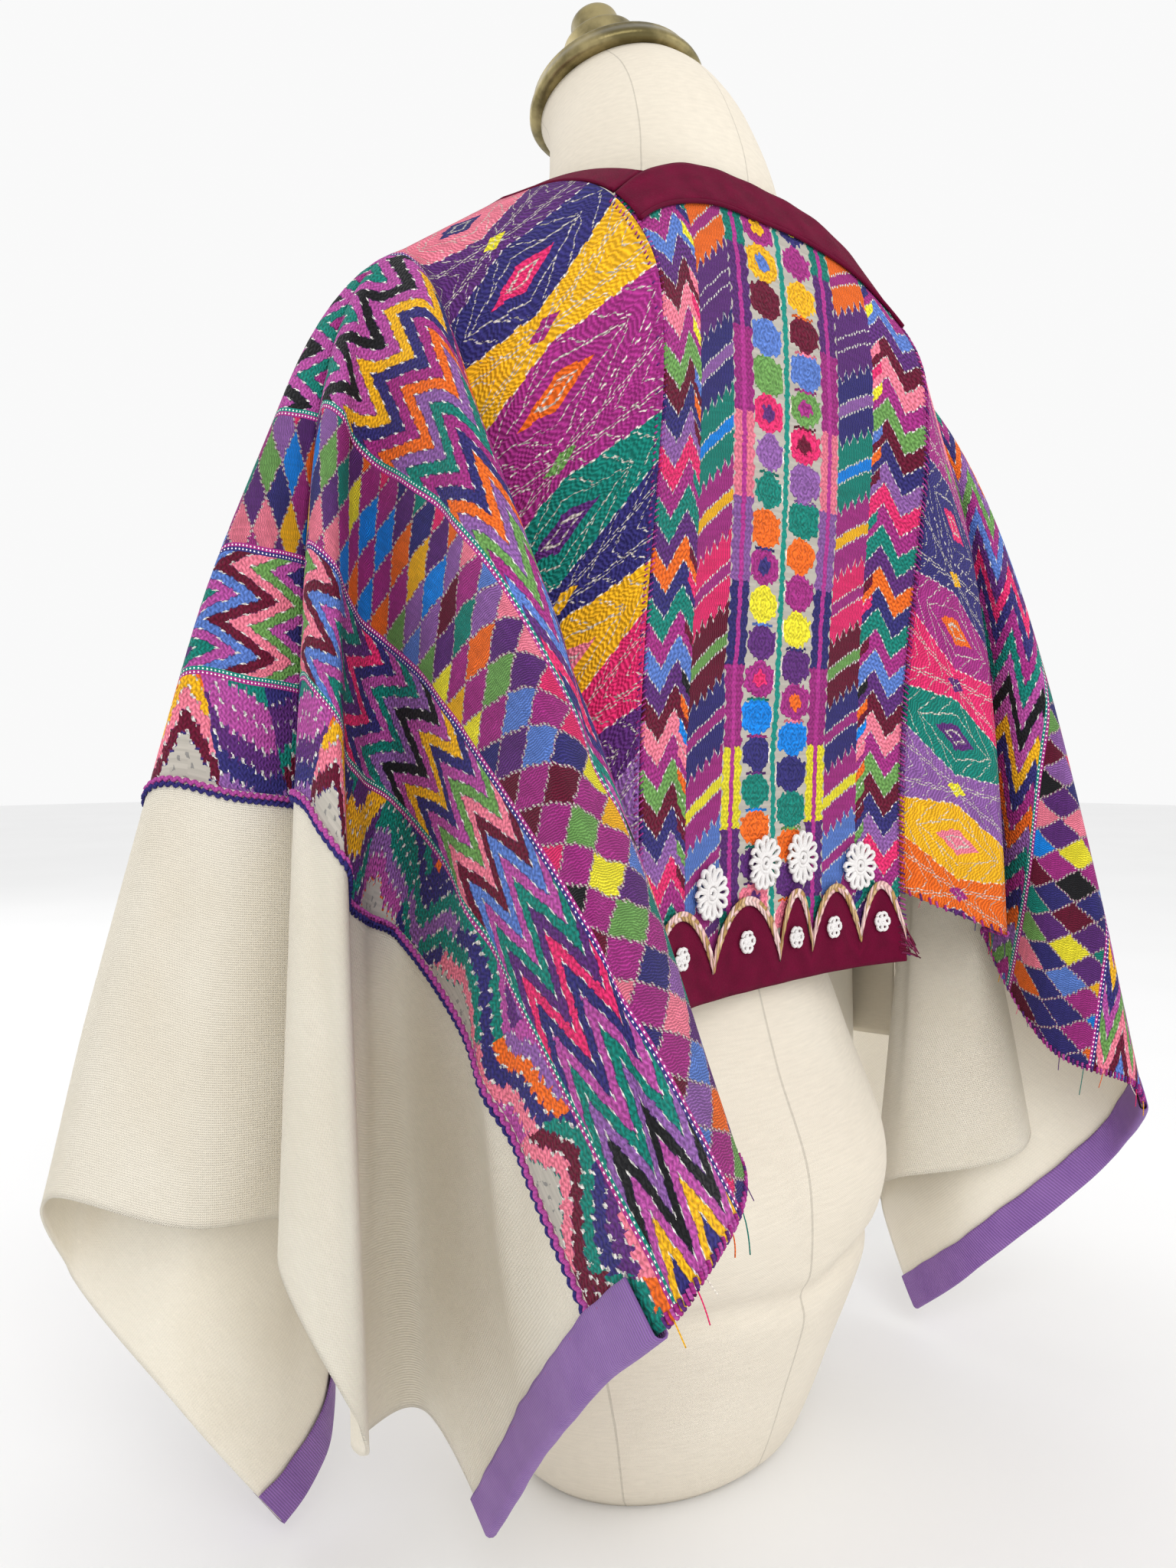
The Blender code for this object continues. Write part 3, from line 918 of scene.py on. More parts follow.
def satin(pen: Pen, a: Value, b: Value) -> Value:
    """Relief of long fine floats with a slight waver, from 0 to 1."""
    waver = pen.noise(pen.vector(a, b), 70.0) * 0.006
    return (b + waver + a * 0.25).ripple(FLOAT_PITCH)


@dataclass(frozen=True)
class Spot:
    """A place on a brocaded cloth.

    Attributes:
        pen: The material's pen.
        a: Distance from the shoulder on a side panel, or across from the centre panel's middle line.
        b: Distance from the seam on a side panel, or down from the neck edge on the centre panel.
        piece: Number of the side panel, or 0 for the back panel and 1 for the front one.
    """

    pen: Pen
    a: Value
    b: Value
    piece: Value


@dataclass(frozen=True)
class Hexagons:
    """Tall hexagons with a nested diamond, parted by crossings with a small diamond of their own.

    Attributes:
        period: Distance between hexagons along the wing.
        middle: Distance of their middle line from the panel seam.
        offset: Shift along the wing.
        wing_offset: Further shift on each next wing.
        slant: How much a hexagon narrows away from the middle line.
        edge: Half length of a hexagon on the middle line, as a share of the period.
        heart: Half length and half height of its diamond, as shares of the period and of the middle.
        eye: The same for the crossing's diamond.
        frame: Size of the lines round the diamond, over the diamond's.
        rise: How far a rib climbs from the middle line to the band's edge.
        rib_pitch: Distance between the ribs in a hexagon.
        stalk_pitch: Distance between the stalks in a crossing.
    """

    period: float = 0.078
    middle: float = 0.0275
    offset: float = 0.024
    wing_offset: float = 0.017
    slant: float = 0.20
    edge: float = 0.36
    heart: tuple[float, float] = (0.125, 0.38)
    eye: tuple[float, float] = (0.070, 0.17)
    frame: float = 1.75
    rise: float = 0.0575
    rib_pitch: float = 0.0135
    stalk_pitch: float = 0.0150

    def look(self, spot: Spot) -> Look:
        """Draws the band.

        Args:
            spot: A place on the cloth.

        Returns:
            The look there.
        """
        pen, u, v = spot.pen, spot.a, spot.b
        turn = (u + self.offset + spot.piece * self.wing_offset) / self.period
        across = turn.off_middle()
        beside = 0.5 - across
        up = abs(v - self.middle) / self.middle
        cell = turn.floor() + spot.piece * 40
        crossing = (turn + 0.5).floor() + spot.piece * 40
        hexagon = across + up * self.slant
        heart = across / self.heart[0] + up / self.heart[1]
        eye = beside / self.eye[0] + up / self.eye[1]
        colour = pen.mix(hexagon < self.edge, pen.in_order(crossing, GROUNDS), pen.in_order(cell, BOLD))
        colour = pen.mix(heart < 1.0, colour, pen.in_order(cell, HEARTS))
        colour = pen.mix(eye < 1.0, colour, pen.in_order(crossing, EYES))
        double = abs(beside - 0.025 - up * 0.15).near(0.013, 0.0055)
        rib = (up * self.rise + across * self.period * 0.9).wrapped(self.rib_pitch) < 0.0011
        stalk = (up * self.rise - beside * self.period).wrapped(self.stalk_pitch) < 0.0010
        lines = heart.near(0.48, 0.10).most(heart.near(self.frame, 0.055)).most(double * (eye > 1.0))
        lines = lines.most(rib * (heart > self.frame) * (hexagon < self.edge - 0.02))
        lines = lines.most(stalk * (hexagon > self.edge + 0.02)) * (u + v).dashes(0.0036, 0.78)
        dots = hexagon.near(self.edge, 0.008) * v.dashes(0.0030, 0.5)
        colour = pen.mix(lines.most(dots) * 0.85, colour, CREAM)
        return Look(colour, satin(pen, u, v) * 0.7 - lines * 0.3 + 0.2)


@dataclass(frozen=True)
class Zigzag:
    """Nested zigzag stripes that point along the wing, with white ticks between them.

    Attributes:
        order: The stripes' colours.
        stripe: Width of a stripe along the wing.
        rise: Length of a tooth along the wing.
        period: Width of a tooth across the band.
        shift: Offset of the teeth across the band.
        tick_pitch: Distance between the ticks.
        tick: Width of a tick.
    """

    order: tuple[Colour, ...]
    stripe: float
    rise: float
    period: float
    shift: float
    tick_pitch: float = 0.0056
    tick: float = 0.0013

    def look(self, spot: Spot) -> Look:
        """Draws the band.

        Args:
            spot: A place on the cloth.

        Returns:
            The look there.
        """
        pen, u, v = spot.pen, spot.a, spot.b
        tooth = (v + self.shift).triangle(self.period) / (self.period / 2)
        place = (u - tooth * self.rise + 1.0) / self.stripe
        colour = pen.in_order(place.floor() + spot.piece * 5, self.order)
        rim = place.off_middle()
        edge = rim > 0.44
        ticks = (rim > 0.41) * (v.wrapped(self.tick_pitch) < self.tick)
        colour = pen.mix(ticks, pen.mix(edge * 0.35, colour, NAVY), WHITE)
        return Look(colour, chunky(v, u) - edge * 0.3 + ticks * 0.15)


@dataclass(frozen=True)
class Lozenges:
    """A leaning lattice of plain rhombi with dotted edges, bright ones between purple ones.

    Attributes:
        falling: Pitch along the wing and slope of the lines that fall away from the seam.
        rising: The same for the lines that rise.
        dot_pitch: Distance between the dots on their edges.
    """

    falling: tuple[float, float] = (0.0210, -0.45)
    rising: tuple[float, float] = (0.0220, 0.60)
    dot_pitch: float = 0.0030

    def look(self, spot: Spot) -> Look:
        """Draws the band.

        Args:
            spot: A place on the cloth.

        Returns:
            The look there.
        """
        pen, u, v = spot.pen, spot.a, spot.b
        p, q = ((u + v * slope) / pitch + 40 for pitch, slope in (self.falling, self.rising))
        bright = pen.palette(pen.chance(p.floor(), q.floor(), 11.0 + spot.piece), LATTICE)
        quiet = pen.palette(pen.chance(p.floor(), (q * 0.5).floor(), 12.0 + spot.piece), QUIET)
        colour = pen.mix((p.floor() + q.floor()).wrapped(2.0) < 0.5, quiet, bright)
        edge = (p.off_middle() > 0.465).most(q.off_middle() > 0.460)
        dots = edge * v.dashes(self.dot_pitch, 0.55)
        colour = pen.mix(dots * 0.8, pen.mix(edge * 0.5, colour, MAGENTA), CREAM)
        return Look(colour, satin(pen, v, u) * 0.8 - edge * 0.3 + 0.15)


@dataclass(frozen=True)
class Waves:
    """Stepped waves in thick stripes on the cream ground, with white eyelets between the stripes.

    Attributes:
        stripe: Width of a stripe.
        start: Distance of the first stripe from the panel seam.
        long_wave: Period of the wide wave along the wing, and its step.
        short_wave: Period of the narrow wave, and its step.
        wing_offset: Shift along the wing on each next wing.
        stripes: Number of stripes before the cream ground.
        eyelet_pitch: Distance between the eyelets.
        eyelet: Width of an eyelet.
    """

    stripe: float = 0.0132
    start: float = 0.333
    long_wave: tuple[float, float] = (0.118, 0.0068)
    short_wave: tuple[float, float] = (0.052, 0.0052)
    wing_offset: float = 0.021
    stripes: float = 6.1
    eyelet_pitch: float = 0.0070
    eyelet: float = 0.0024

    def look(self, spot: Spot) -> Look:
        """Draws the band.

        Args:
            spot: A place on the cloth.

        Returns:
            The look there.
        """
        pen, u, v = spot.pen, spot.a, spot.b
        turn = u + spot.piece * self.wing_offset + 0.2
        (wide, wide_step), (narrow, narrow_step) = self.long_wave, self.short_wave
        wave = turn.triangle(wide).stepped(wide_step) * 0.75
        wave = wave - (turn + 0.02).triangle(narrow).stepped(narrow_step) * 0.5
        height = v - self.start + wave
        place = height / self.stripe
        block = (turn / (wide / 2) + height * 6).floor()
        colour = pen.palette(pen.chance(place.floor(), block, 21.0 + spot.piece), MEANDER)
        cream = place > self.stripes
        colour = pen.mix(cream, colour, CREAM)
        rim = place.off_middle()
        eyelet = (rim > 0.38) * ((turn + v * 0.5).wrapped(self.eyelet_pitch) < self.eyelet) * (place > 1.0)
        colour = pen.mix(eyelet, pen.mix((rim > 0.46) * (1 - cream) * 0.4, colour, PURPLE), WHITE)
        return Look(colour, chunky(v, u) * (1 - cream) - eyelet * 0.3 + 0.05)


BANDS = (
    # distance from the panel seam, band
    (0.0585, Zigzag(FIRST_ZIGZAG, 0.0168, 0.038, 0.0350, 0.004)),
    (0.1760, Lozenges()),
    (0.2590, Zigzag(SECOND_ZIGZAG, 0.0160, 0.042, 0.0330, 0.010)),
    (0.3330, Waves()),
)
CORDS = (
    # distance from the panel seam, colour
    (0.0574, MAGENTA),
    (0.0598, NAVY),
    (0.1748, TEAL),
    (0.1772, MAGENTA),
    (0.2578, MAGENTA),
    (0.2602, NAVY),
    (0.3318, TEAL),
    (0.3342, MAGENTA),
)


def wing_brocade(pen: Pen) -> Look:
    """The side panels' bands, by their distance from the panel seam, and the plain cloth below them.

    Args:
        pen: The material's pen.

    Returns:
        The cloth's look.
    """
    u_map, v_map = pen.uv()
    wing = u_map.floor()
    u_map = u_map - wing
    u = uneven(u_map, v_map / WING_THREAD, wing, 1.0, 0.0017)
    v = uneven(v_map, u_map / WING_THREAD, wing, 2.0, 0.0012)
    spot = Spot(pen, u, v, wing)
    look = Hexagons().look(spot)
    for start, band in BANDS:
        look = look.under(v_map > start, band.look(spot))
    for place, shade in CORDS:
        cord = v_map.near(place, 0.0013)
        core = v_map.near(place, 0.0004) * u_map.dashes(0.0030, 0.35)
        twist = u_map.wave(0.0030) * 0.25 + 0.75
        colour = pen.mix(core, pen.mix(cord, look.colour, shade), WHITE)
        look = Look(colour, look.relief + cord * (twist - look.relief))
    return worn_and_groove_shaded(look, u_map, v_map).under(v_map > PLAIN_START, plain_cloth(pen))


def plain_cloth(pen: Pen) -> Look:
    """Undyed cotton with slightly uneven threads and painted shade in the weave's hollows.

    Args:
        pen: The material's pen.

    Returns:
        The cloth's look.
    """
    u, v = pen.uv()
    slub = pen.noise(pen.vector(u * 0.12, v), 900.0, 1.0)
    wide = pen.noise(pen.vector(u, v), 14.0, 3.0)
    across = u.wave(0.0016)
    along = v.wave(0.0013)
    weave = across * along * 0.3 + across * 0.2 + 0.5
    # Painted shade: the weave term darkens the colour in the weave's hollows.
    colour = pen.tinted(pen.mix(wide, *COTTON), 0.88 + slub * 0.12 + weave * 0.10)
    return Look(colour, weave * 0.6 + slub * 0.3)


@dataclass(frozen=True)
class PanelPattern:
    """The centre panel's columns, mirrored at its centre line.

    Attributes:
        knots_end: Outer edge of the knots' column.
        rails_end: Outer edge of the rails.
        combs_end: Outer edge of the combs' column.
        knot_pitch: Distance between knots.
        knot_out: Distance of the knots from the centre line.
        knot_radius: Radius of the smallest knot.
        rail_pitch: Length of one colour along the rails.
        rail_half: Half width of a rail.
        comb_pitch: Distance between combs.
        comb_line: Half width of the line through a comb.
        tooth_pitch: Height of a tooth's stripe.
        tooth_period: Width of a tooth.
        tip: Width of the column's bright tips.
    """

    knots_end: float = 0.0330
    rails_end: float = 0.0530
    combs_end: float = 0.0870
    knot_pitch: float = 0.0215
    knot_out: float = 0.0182
    knot_radius: float = 0.0118
    rail_pitch: float = 0.0470
    rail_half: float = 0.0093
    comb_pitch: float = 0.0400
    comb_line: float = 0.0034
    tooth_pitch: float = 0.0135
    tooth_period: float = 0.0300
    tip: float = 0.0085

    def knots(self, spot: Spot) -> Look:
        """Coiled knots with cream cloth between them.

        Args:
            spot: A place on the cloth.

        Returns:
            The column's look there.
        """
        pen, out, s, half = spot.pen, abs(spot.a), spot.b, spot.piece
        right = spot.a < 0.0
        run = (s + right * (self.knot_pitch * 0.4)) / self.knot_pitch
        number = run.floor() - right + half * 7
        place = run.floor() + right * 50
        drift = (pen.chance(place, half, 48.0) - 0.5) * 0.0050
        wide = pen.chance(place, half, 49.0) * 0.0016 + self.knot_radius
        dy = run.off_middle() * self.knot_pitch
        dx = abs(out - self.knot_out + drift * 0.6)
        lobe = ((out * 900 + drift * 900).sine() * (s * 820).sine()) * 0.0012
        knot = (dx * 0.85).most(dy + dx * (0.50 + drift * 40)) + lobe
        colour = pen.mix(knot < wide, CREAM, pen.in_order(number, KNOTS))
        inner = pen.in_order(number + place, KNOTS)
        colour = pen.mix((knot < wide * 0.42) * (pen.chance(place, half, 50.0) > 0.72), colour, inner)
        bar = run.wrapped(1.0).near(0.02, 0.055) * (dx < 0.0105)
        colour = pen.mix(bar * (pen.chance(place, half, 52.0) > 0.45), colour, inner)
        return Look(colour, (knot < wide) * (chunky(out, s) * 0.5 + knot.ripple(0.0034) * 0.5))

    def rails(self, spot: Spot) -> Look:
        """Two strips with a cord between them.

        Args:
            spot: A place on the cloth.

        Returns:
            The column's look there.
        """
        pen, out, s = spot.pen, abs(spot.a), spot.b
        distance = abs(out - (self.knots_end + self.rails_end) / 2)
        strip = distance < self.rail_half + s.wave(0.0085) * 0.0010
        cord = distance < 0.0021
        number = (s / self.rail_pitch).floor() + spot.piece * 3
        colour = pen.mix(cord, pen.mix(strip, CREAM, pen.in_order(number, RAILS)), MAGENTA)
        return Look(colour, strip * (chunky(out, s) * 0.6 + cord * 0.4))

    def combs(self, spot: Spot) -> Look:
        """Slanted blocks with toothed edges and a line through the middle.

        Args:
            spot: A place on the cloth.

        Returns:
            The column's look there.
        """
        pen, x, half = spot.pen, spot.a, spot.piece
        side = (x > 0) * 2 - 1
        lean = spot.b - (x - side * 0.070) * 0.55 + 0.5
        toothed = (lean + x.triangle(0.0072) * 1.9) / self.comb_pitch
        place = abs(lean.wrapped(self.comb_pitch) - self.comb_pitch * 0.42)
        colour = pen.in_order(toothed.floor() + half * 5, COMBS)
        colour = pen.mix(place < self.comb_line, colour, pen.in_order(toothed.floor() + half, COMB_LINES))
        edge = place.near(0.0040, 0.0007).most(toothed.wrapped(1.0) < 0.035)
        colour = pen.mix(edge * x.dashes(0.0028, 0.55), colour, WHITE)
        return Look(colour, x.wave(0.0017) * 0.35 + 0.5 - edge * 0.2)

    def teeth(self, spot: Spot) -> Look:
        """Nested zigzags beside the wing's seam.

        Args:
            spot: A place on the cloth.

        Returns:
            The column's look there.
        """
        pen, out, s, half = spot.pen, abs(spot.a), spot.b, spot.piece
        place = (s + (out + 0.004).triangle(self.tooth_period) * 1.05 + 0.1) / self.tooth_pitch
        row = place.floor()
        colour = pen.in_order(row + half * 4, TEETH)
        tip = out.between(self.combs_end, self.combs_end + self.tip) * (place.wrapped(1.0) < 0.55)
        bright = pen.palette(pen.chance(row, half, 46.0), LATTICE)
        colour = pen.mix(tip * (pen.chance(row, half, 47.0) > 0.45), colour, bright)
        edge = place.off_middle() > 0.45
        colour = pen.mix(edge * out.dashes(0.0028, 0.55), colour, WHITE)
        return Look(colour, chunky(out, s) - edge * 0.25)

    def look(self, pen: Pen) -> Look:
        """All columns side by side, with a cord down the middle.

        Args:
            pen: The material's pen.

        Returns:
            The cloth's look.
        """
        x_map, s_map = pen.uv()
        half = s_map.floor()
        s_map = s_map - half
        x = uneven(x_map, s_map / PANEL_THREAD, half, 4.0, 0.0013)
        s = uneven(s_map, x_map / PANEL_THREAD, half, 5.0, 0.0013)
        spot, out = Spot(pen, x, s, half), abs(x)
        look = self.knots(spot)
        columns = ((self.knots_end, self.rails), (self.rails_end, self.combs), (self.combs_end, self.teeth))
        for start, column in columns:
            look = look.under(out > start, column(spot))
        cord = out < s.wave(0.0062) * 0.0005 + 0.0024
        relief = look.relief + cord * (chunky(out, s) * 0.4 + 0.55 - look.relief)
        colour = pen.mix(cord, pen.mix(out < 0.0042, look.colour, CREAM), TEAL)
        return worn_and_groove_shaded(Look(colour, relief), x_map, s_map)


def velvet(pen: Pen) -> Look:
    """Deep pile with worn streaks, painted lighter as sheen where they catch the light.

    Args:
        pen: The material's pen.

    Returns:
        The velvet's look.
    """
    a, b = pen.uv()
    pile = pen.noise(None, 1500.0, 1.0)
    wear_and_sheen = pen.noise(pen.vector(a, b * 0.05), 60.0, 4.0)
    # Painted sheen: the worn streaks are mixed towards the velvet's light shade.
    colour = pen.tinted(pen.mix(wear_and_sheen, *VELVET), 0.80 + pile * 0.40)
    return Look(colour, pile, 0.80 + wear_and_sheen * 0.15)


def grosgrain(pen: Pen) -> Look:
    """Ribbed lilac ribbon, with painted shade between the ribs.

    Args:
        pen: The material's pen.

    Returns:
        The ribbon's look.
    """
    a, b = pen.uv()
    ribs = b.ripple(0.0018)
    fade = pen.noise(pen.vector(a, b), 40.0, 3.0)
    # Painted shade: the colour is darker in the grooves between the ribs.
    colour = pen.tinted(pen.mix(fade, *RIBBON), 0.72 + ribs * 0.40)
    return Look(colour, ribs, 0.50 + ribs * 0.15)


def braided(pen: Pen) -> Look:
    """Pink and old gold threads plaited into a narrow braid, with painted shade at each thread's edges.

    Args:
        pen: The material's pen.

    Returns:
        The braid's look.
    """
    a, b = pen.uv()
    lean = (a + abs(b) * 0.9) / 0.0036
    colour = pen.palette(pen.chance(lean.floor(), (b > 0), 51.0), BRAID)
    cord = (lean.wrapped(1.0) * math.pi).sine()
    # Painted shade: each thread is darker towards its edges, where it dips between its neighbours.
    return Look(pen.tinted(colour, 0.60 + cord * 0.50), cord)


def crochet(pen: Pen) -> Look:
    """White cotton yarn.

    Args:
        pen: The material's pen.

    Returns:
        The yarn's look.
    """
    grain = pen.noise(None, 1100.0)
    soil = pen.noise(None, 60.0)
    return Look(pen.tinted(pen.mix(soil, *CROCHET), 0.85 + grain * 0.25), grain)


def linen(pen: Pen) -> Look:
    """The form's cover: plain linen with a few darker slubs, stitched seams, and painted shade in the weave
    and in the seams' grooves.

    Args:
        pen: The material's pen.

    Returns:
        The cover's look.
    """
    a, b = pen.uv()
    grain = a.wave(0.0015) * b.wave(0.0015) * 0.35 + 0.5
    slub = pen.noise(pen.vector(a * 0.10, b), 620.0)
    wide = pen.noise(None, 7.0, 3.0)
    seam: Operand = 0.0
    for turn in FORM_SEAMS:
        seam = a.near(turn * FORM_GIRTH_UNIT, 0.0009) + seam
    # Painted shade: the grain term darkens the weave's hollows, and the seam term darkens the seams' grooves.
    colour = pen.tinted(pen.mix(wide, *LINEN), 0.86 + slub * 0.18 + grain * 0.08 - seam * 0.22)
    return Look(colour, grain * 0.4 + slub * 0.3 - seam * 0.8 + 0.3)


def old_brass(pen: Pen) -> Look:
    """Brass gone brown in its hollows.

    Args:
        pen: The material's pen.

    Returns:
        The metal's look.
    """
    stain = pen.noise(None, 38.0, 5.0)
    fine = pen.noise(None, 420.0, 3.0)
    return Look(pen.mix(stain.soft(0.35, 0.65), *BRASS), fine, 0.24 + stain * 0.24)


def yarn(*shades: Colour) -> Pattern:
    """Loose thread in several shades, one for each length of it.

    Args:
        *shades: The threads' colours.

    Returns:
        The pattern.
    """

    def pattern(pen: Pen) -> Look:
        """Draws one shade for each thread, with painted shade darkening it between its plies.

        Args:
            pen: The material's pen.

        Returns:
            The thread's look.
        """
        a, b = pen.uv()
        twist = b.ripple(0.0016)
        # Painted shade: the twist darkens the colour between the plies.
        return Look(pen.tinted(pen.in_order(a.floor(), shades), 0.75 + twist * 0.35), twist)

    return pattern


FINISHES = {
    "brocade": Finish("wing_brocade", wing_brocade, 0.82, sheen=0.03, bump=0.0012),
    "panel": Finish("panel_brocade", PanelPattern().look, 0.82, sheen=0.03, bump=0.0012),
    "plain": Finish("plain_cloth", plain_cloth, 0.88, sheen=0.08, bump=0.00035),
    "velvet": Finish("burgundy_velvet", velvet, 0.9, sheen=0.02, bump=0.0005, specular=0.08),
    "ribbon": Finish("lilac_ribbon", grosgrain, 0.55, sheen=0.10, bump=0.0005),
    "braid": Finish("pink_braid", braided, 0.7, bump=0.0009),
    "crochet": Finish("white_crochet", crochet, 0.8, sheen=0.10, bump=0.0005),
    "linen": Finish("form_linen", linen, 0.85, sheen=0.06, bump=0.0003),
    "brass": Finish("old_brass", old_brass, 0.35, metallic=1.0, bump=0.00015, specular=0.5),
    "bright_yarn": Finish("bright_yarn", yarn(PINK, NAVY, PURPLE, TEAL, ORANGE, CREAM, ROSE, YELLOW), 0.8),
    "red_thread": Finish("red_thread", yarn((0.52, 0.02, 0.04), (0.62, 0.05, 0.06)), 0.7),
    "link_yarn": Finish("link_yarn", yarn(ORCHID, NAVY), 0.8),
    "edge_yarn": Finish("edge_yarn", yarn(MAGENTA, PURPLE, MAGENTA, ORCHID), 0.8),
    "tuft_yarn": Finish("tuft_yarn", yarn(BURGUNDY, (0.22, 0.02, 0.08), (0.10, 0.01, 0.03)), 0.85),
}


@dataclass(frozen=True)
class Tag:
    """What a piece is called, made of and stands for.

    Attributes:
        name: The object's name.
        finishes: Names of its finishes, the outer face's first.
        slot: Name of a slot for its material; not used.
        node: The CAD node that it replaces, if any.
    """

    name: str
    finishes: tuple[str, ...]
    slot: str
    node: str = ""


def new_grid(across: int, along: int) -> tuple[Mesh, Array]:
    """A grid mesh.

    Args:
        across: Its cells in the first direction.
        along: Its cells in the second direction.

    Returns:
        The mesh, and each vertex's place on it, from 0 to 1.
    """
    shape = bmesh.new()
    bmesh.ops.create_grid(shape, x_segments=across, y_segments=along, size=0.5)
    return shape, np.array([vert.co[:] for vert in shape.verts]) + 0.5


def shape_grid(shape: Mesh, points: Array, a: Array, b: Array) -> None:
    """Moves a mesh's vertices and writes their cloth measure as a UV map.

    Args:
        shape: The mesh.
        points: Where each vertex goes.
        a: First measure of each vertex.
        b: Second measure of each vertex.
    """
    for vert, point in zip(shape.verts, points):
        vert.co = point
    layer = shape.loops.layers.uv.new("cloth")
    shape.verts.index_update()
    for face in shape.faces:
        for loop in face.loops:
            i = loop.vert.index
            loop[layer].uv = (a[i], b[i])


class Workroom:
    """Makes each material once, and turns meshes into pieces."""

    def __init__(self) -> None:
        """Starts with no material made."""
        self.made: dict[str, Material] = {}

    def material(self, name: str) -> Material:
        """The material of that finish, made at its first use."""
        if name not in self.made:
            self.made[name] = FINISHES[name].make()
        return self.made[name]

    def piece(self, tag: Tag, shape: Mesh) -> Object:
        """Turns a bmesh into a smooth piece that rides with the model.

        Args:
            tag: What the piece is.
            shape: Its mesh, which is freed.

        Returns:
            The object.
        """
        mesh = bpy.data.meshes.new(tag.name)
        shape.to_mesh(mesh)
        shape.free()
        for finish in tag.finishes:
            mesh.materials.append(self.material(finish))
        mesh.shade_smooth()
        obj = bpy.data.objects.new(tag.name, mesh)
        bpy.context.scene.collection.objects.link(obj)
        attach(obj, "root")
        if tag.node:
            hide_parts(tag.node)
        log.info("%s: %d faces", tag.name, len(mesh.polygons))
        return obj

    def sheet(
        self,
        tag: Tag,
        cells: tuple[int, int],
        measure: tuple[Row, Row],
        place: Surface,
        outward: int,
        thickness: float,
        shift: Row = (0.0, 0.0),
    ) -> Object:
        """Makes a thin shell whose outer face is a shaped grid.

        Args:
            tag: What the piece is.
            cells: Cells along the two measures.
            measure: First and last value of each cloth measure.
            place: Carries the measures to points of the outer face.
            outward: Sign that turns the a by b normal outwards.
            thickness: The shell's thickness, inwards.
            shift: Whole metres added to the measures in the UV map, which change the pattern's colours.

        Returns:
            The object, with a live Solidify.
        """
        shape, flat = new_grid(*cells)
        a, b = (first + (last - first) * flat[:, i] for i, (first, last) in enumerate(measure))
        shape_grid(shape, place(a, b), a + shift[0], b + shift[1])
        if outward < 0:
            bmesh.ops.reverse_faces(shape, faces=shape.faces[:])
        obj = self.piece(tag, shape)
        solidify = obj.modifiers.new("thickness", "SOLIDIFY")
        solidify.thickness = thickness
        solidify.offset = -1.0
        solidify.material_offset = len(tag.finishes) - 1
        return obj

    def threads(self, tag: Tag, paths: Array, radius: float, sides: int = 5, closed: bool = False) -> Object:
        """Makes round threads of as many points each, in one object.

        Args:
            tag: What the piece is.
            paths: Points of each thread, as threads by points by 3.
            radius: The threads' radius.
            sides: Faces round a thread.
            closed: Whether each thread ends where it starts.

        Returns:
            The object.
        """
        first, last = paths[:, :1], paths[:, -1:]
        if closed:
            paths = np.concatenate([paths, first], axis=1)
            first, last = last, paths[:, 1:2]
        ahead = np.concatenate([paths[:, 1:], last], axis=1)
        behind = np.concatenate([first, paths[:, :-1]], axis=1)
        tangent = unit(ahead - behind)
        side = unit(np.cross(tangent, THREAD_SIDE))
        other = np.cross(tangent, side)
        run = np.cumsum(np.linalg.norm(np.diff(paths, axis=1, prepend=paths[:, :1]), axis=-1), axis=1)
        count, points = paths.shape[:2]
        rows = count * points - 1
        shape, flat = new_grid(sides, rows)
        turn = flat[:, 0, None] * 2 * math.pi
        thread, point = np.divmod(np.rint(flat[:, 1] * rows).astype(int), points)
        ring = np.cos(turn) * side[thread, point] + np.sin(turn) * other[thread, point]
        shape_grid(shape, paths[thread, point] + radius * ring, thread + 0.5, run[thread, point])
        between = [face for face in shape.faces if len({thread[vert.index] for vert in face.verts}) > 1]
        bmesh.ops.delete(shape, geom=between, context="FACES")
        bmesh.ops.remove_doubles(shape, verts=shape.verts[:], dist=1e-7)
        open_edges = [edge for edge in shape.edges if edge.is_boundary]
        bmesh.ops.holes_fill(shape, edges=open_edges, sides=sides)
        bmesh.ops.recalc_face_normals(shape, faces=shape.faces[:])
        return self.piece(tag, shape)


def spread(number: int, seed: float) -> Array:
    """Fixed uneven numbers from 0 to 1."""
    return np.modf(np.abs(np.sin((np.arange(number) + 1) * 12.9898 + seed * 78.233) * 43758.5453))[0]


LEFT_APEX = (0.186, -0.030, 0.776)
RIGHT_APEX = (-0.210, 0.020, 0.790)

LEFT_BACK_CREASES = (
    # start u, start v, end u, end v, half width, height
    (0.05, 0.16, 0.30, 0.60, 0.016, 0.0042),
    (0.10, 0.12, 0.44, 0.42, 0.014, -0.0040),
    (0.16, 0.07, 0.50, 0.20, 0.013, 0.0038),
    (0.20, 0.20, 0.50, 0.52, 0.018, 0.0045),
    (0.03, 0.30, 0.16, 0.62, 0.013, -0.0034),
    (0.08, 0.08, 0.26, 0.11, 0.011, -0.0030),
    (0.28, 0.12, 0.51, 0.34, 0.011, -0.0032),
)
LEFT_FRONT_CREASES = (
    (0.05, 0.20, 0.22, 0.62, 0.017, 0.0044),
    (0.12, 0.10, 0.46, 0.50, 0.015, -0.0042),
    (0.18, 0.06, 0.50, 0.24, 0.014, 0.0036),
    (0.04, 0.14, 0.12, 0.60, 0.012, -0.0030),
    (0.26, 0.24, 0.50, 0.60, 0.016, 0.0038),
)
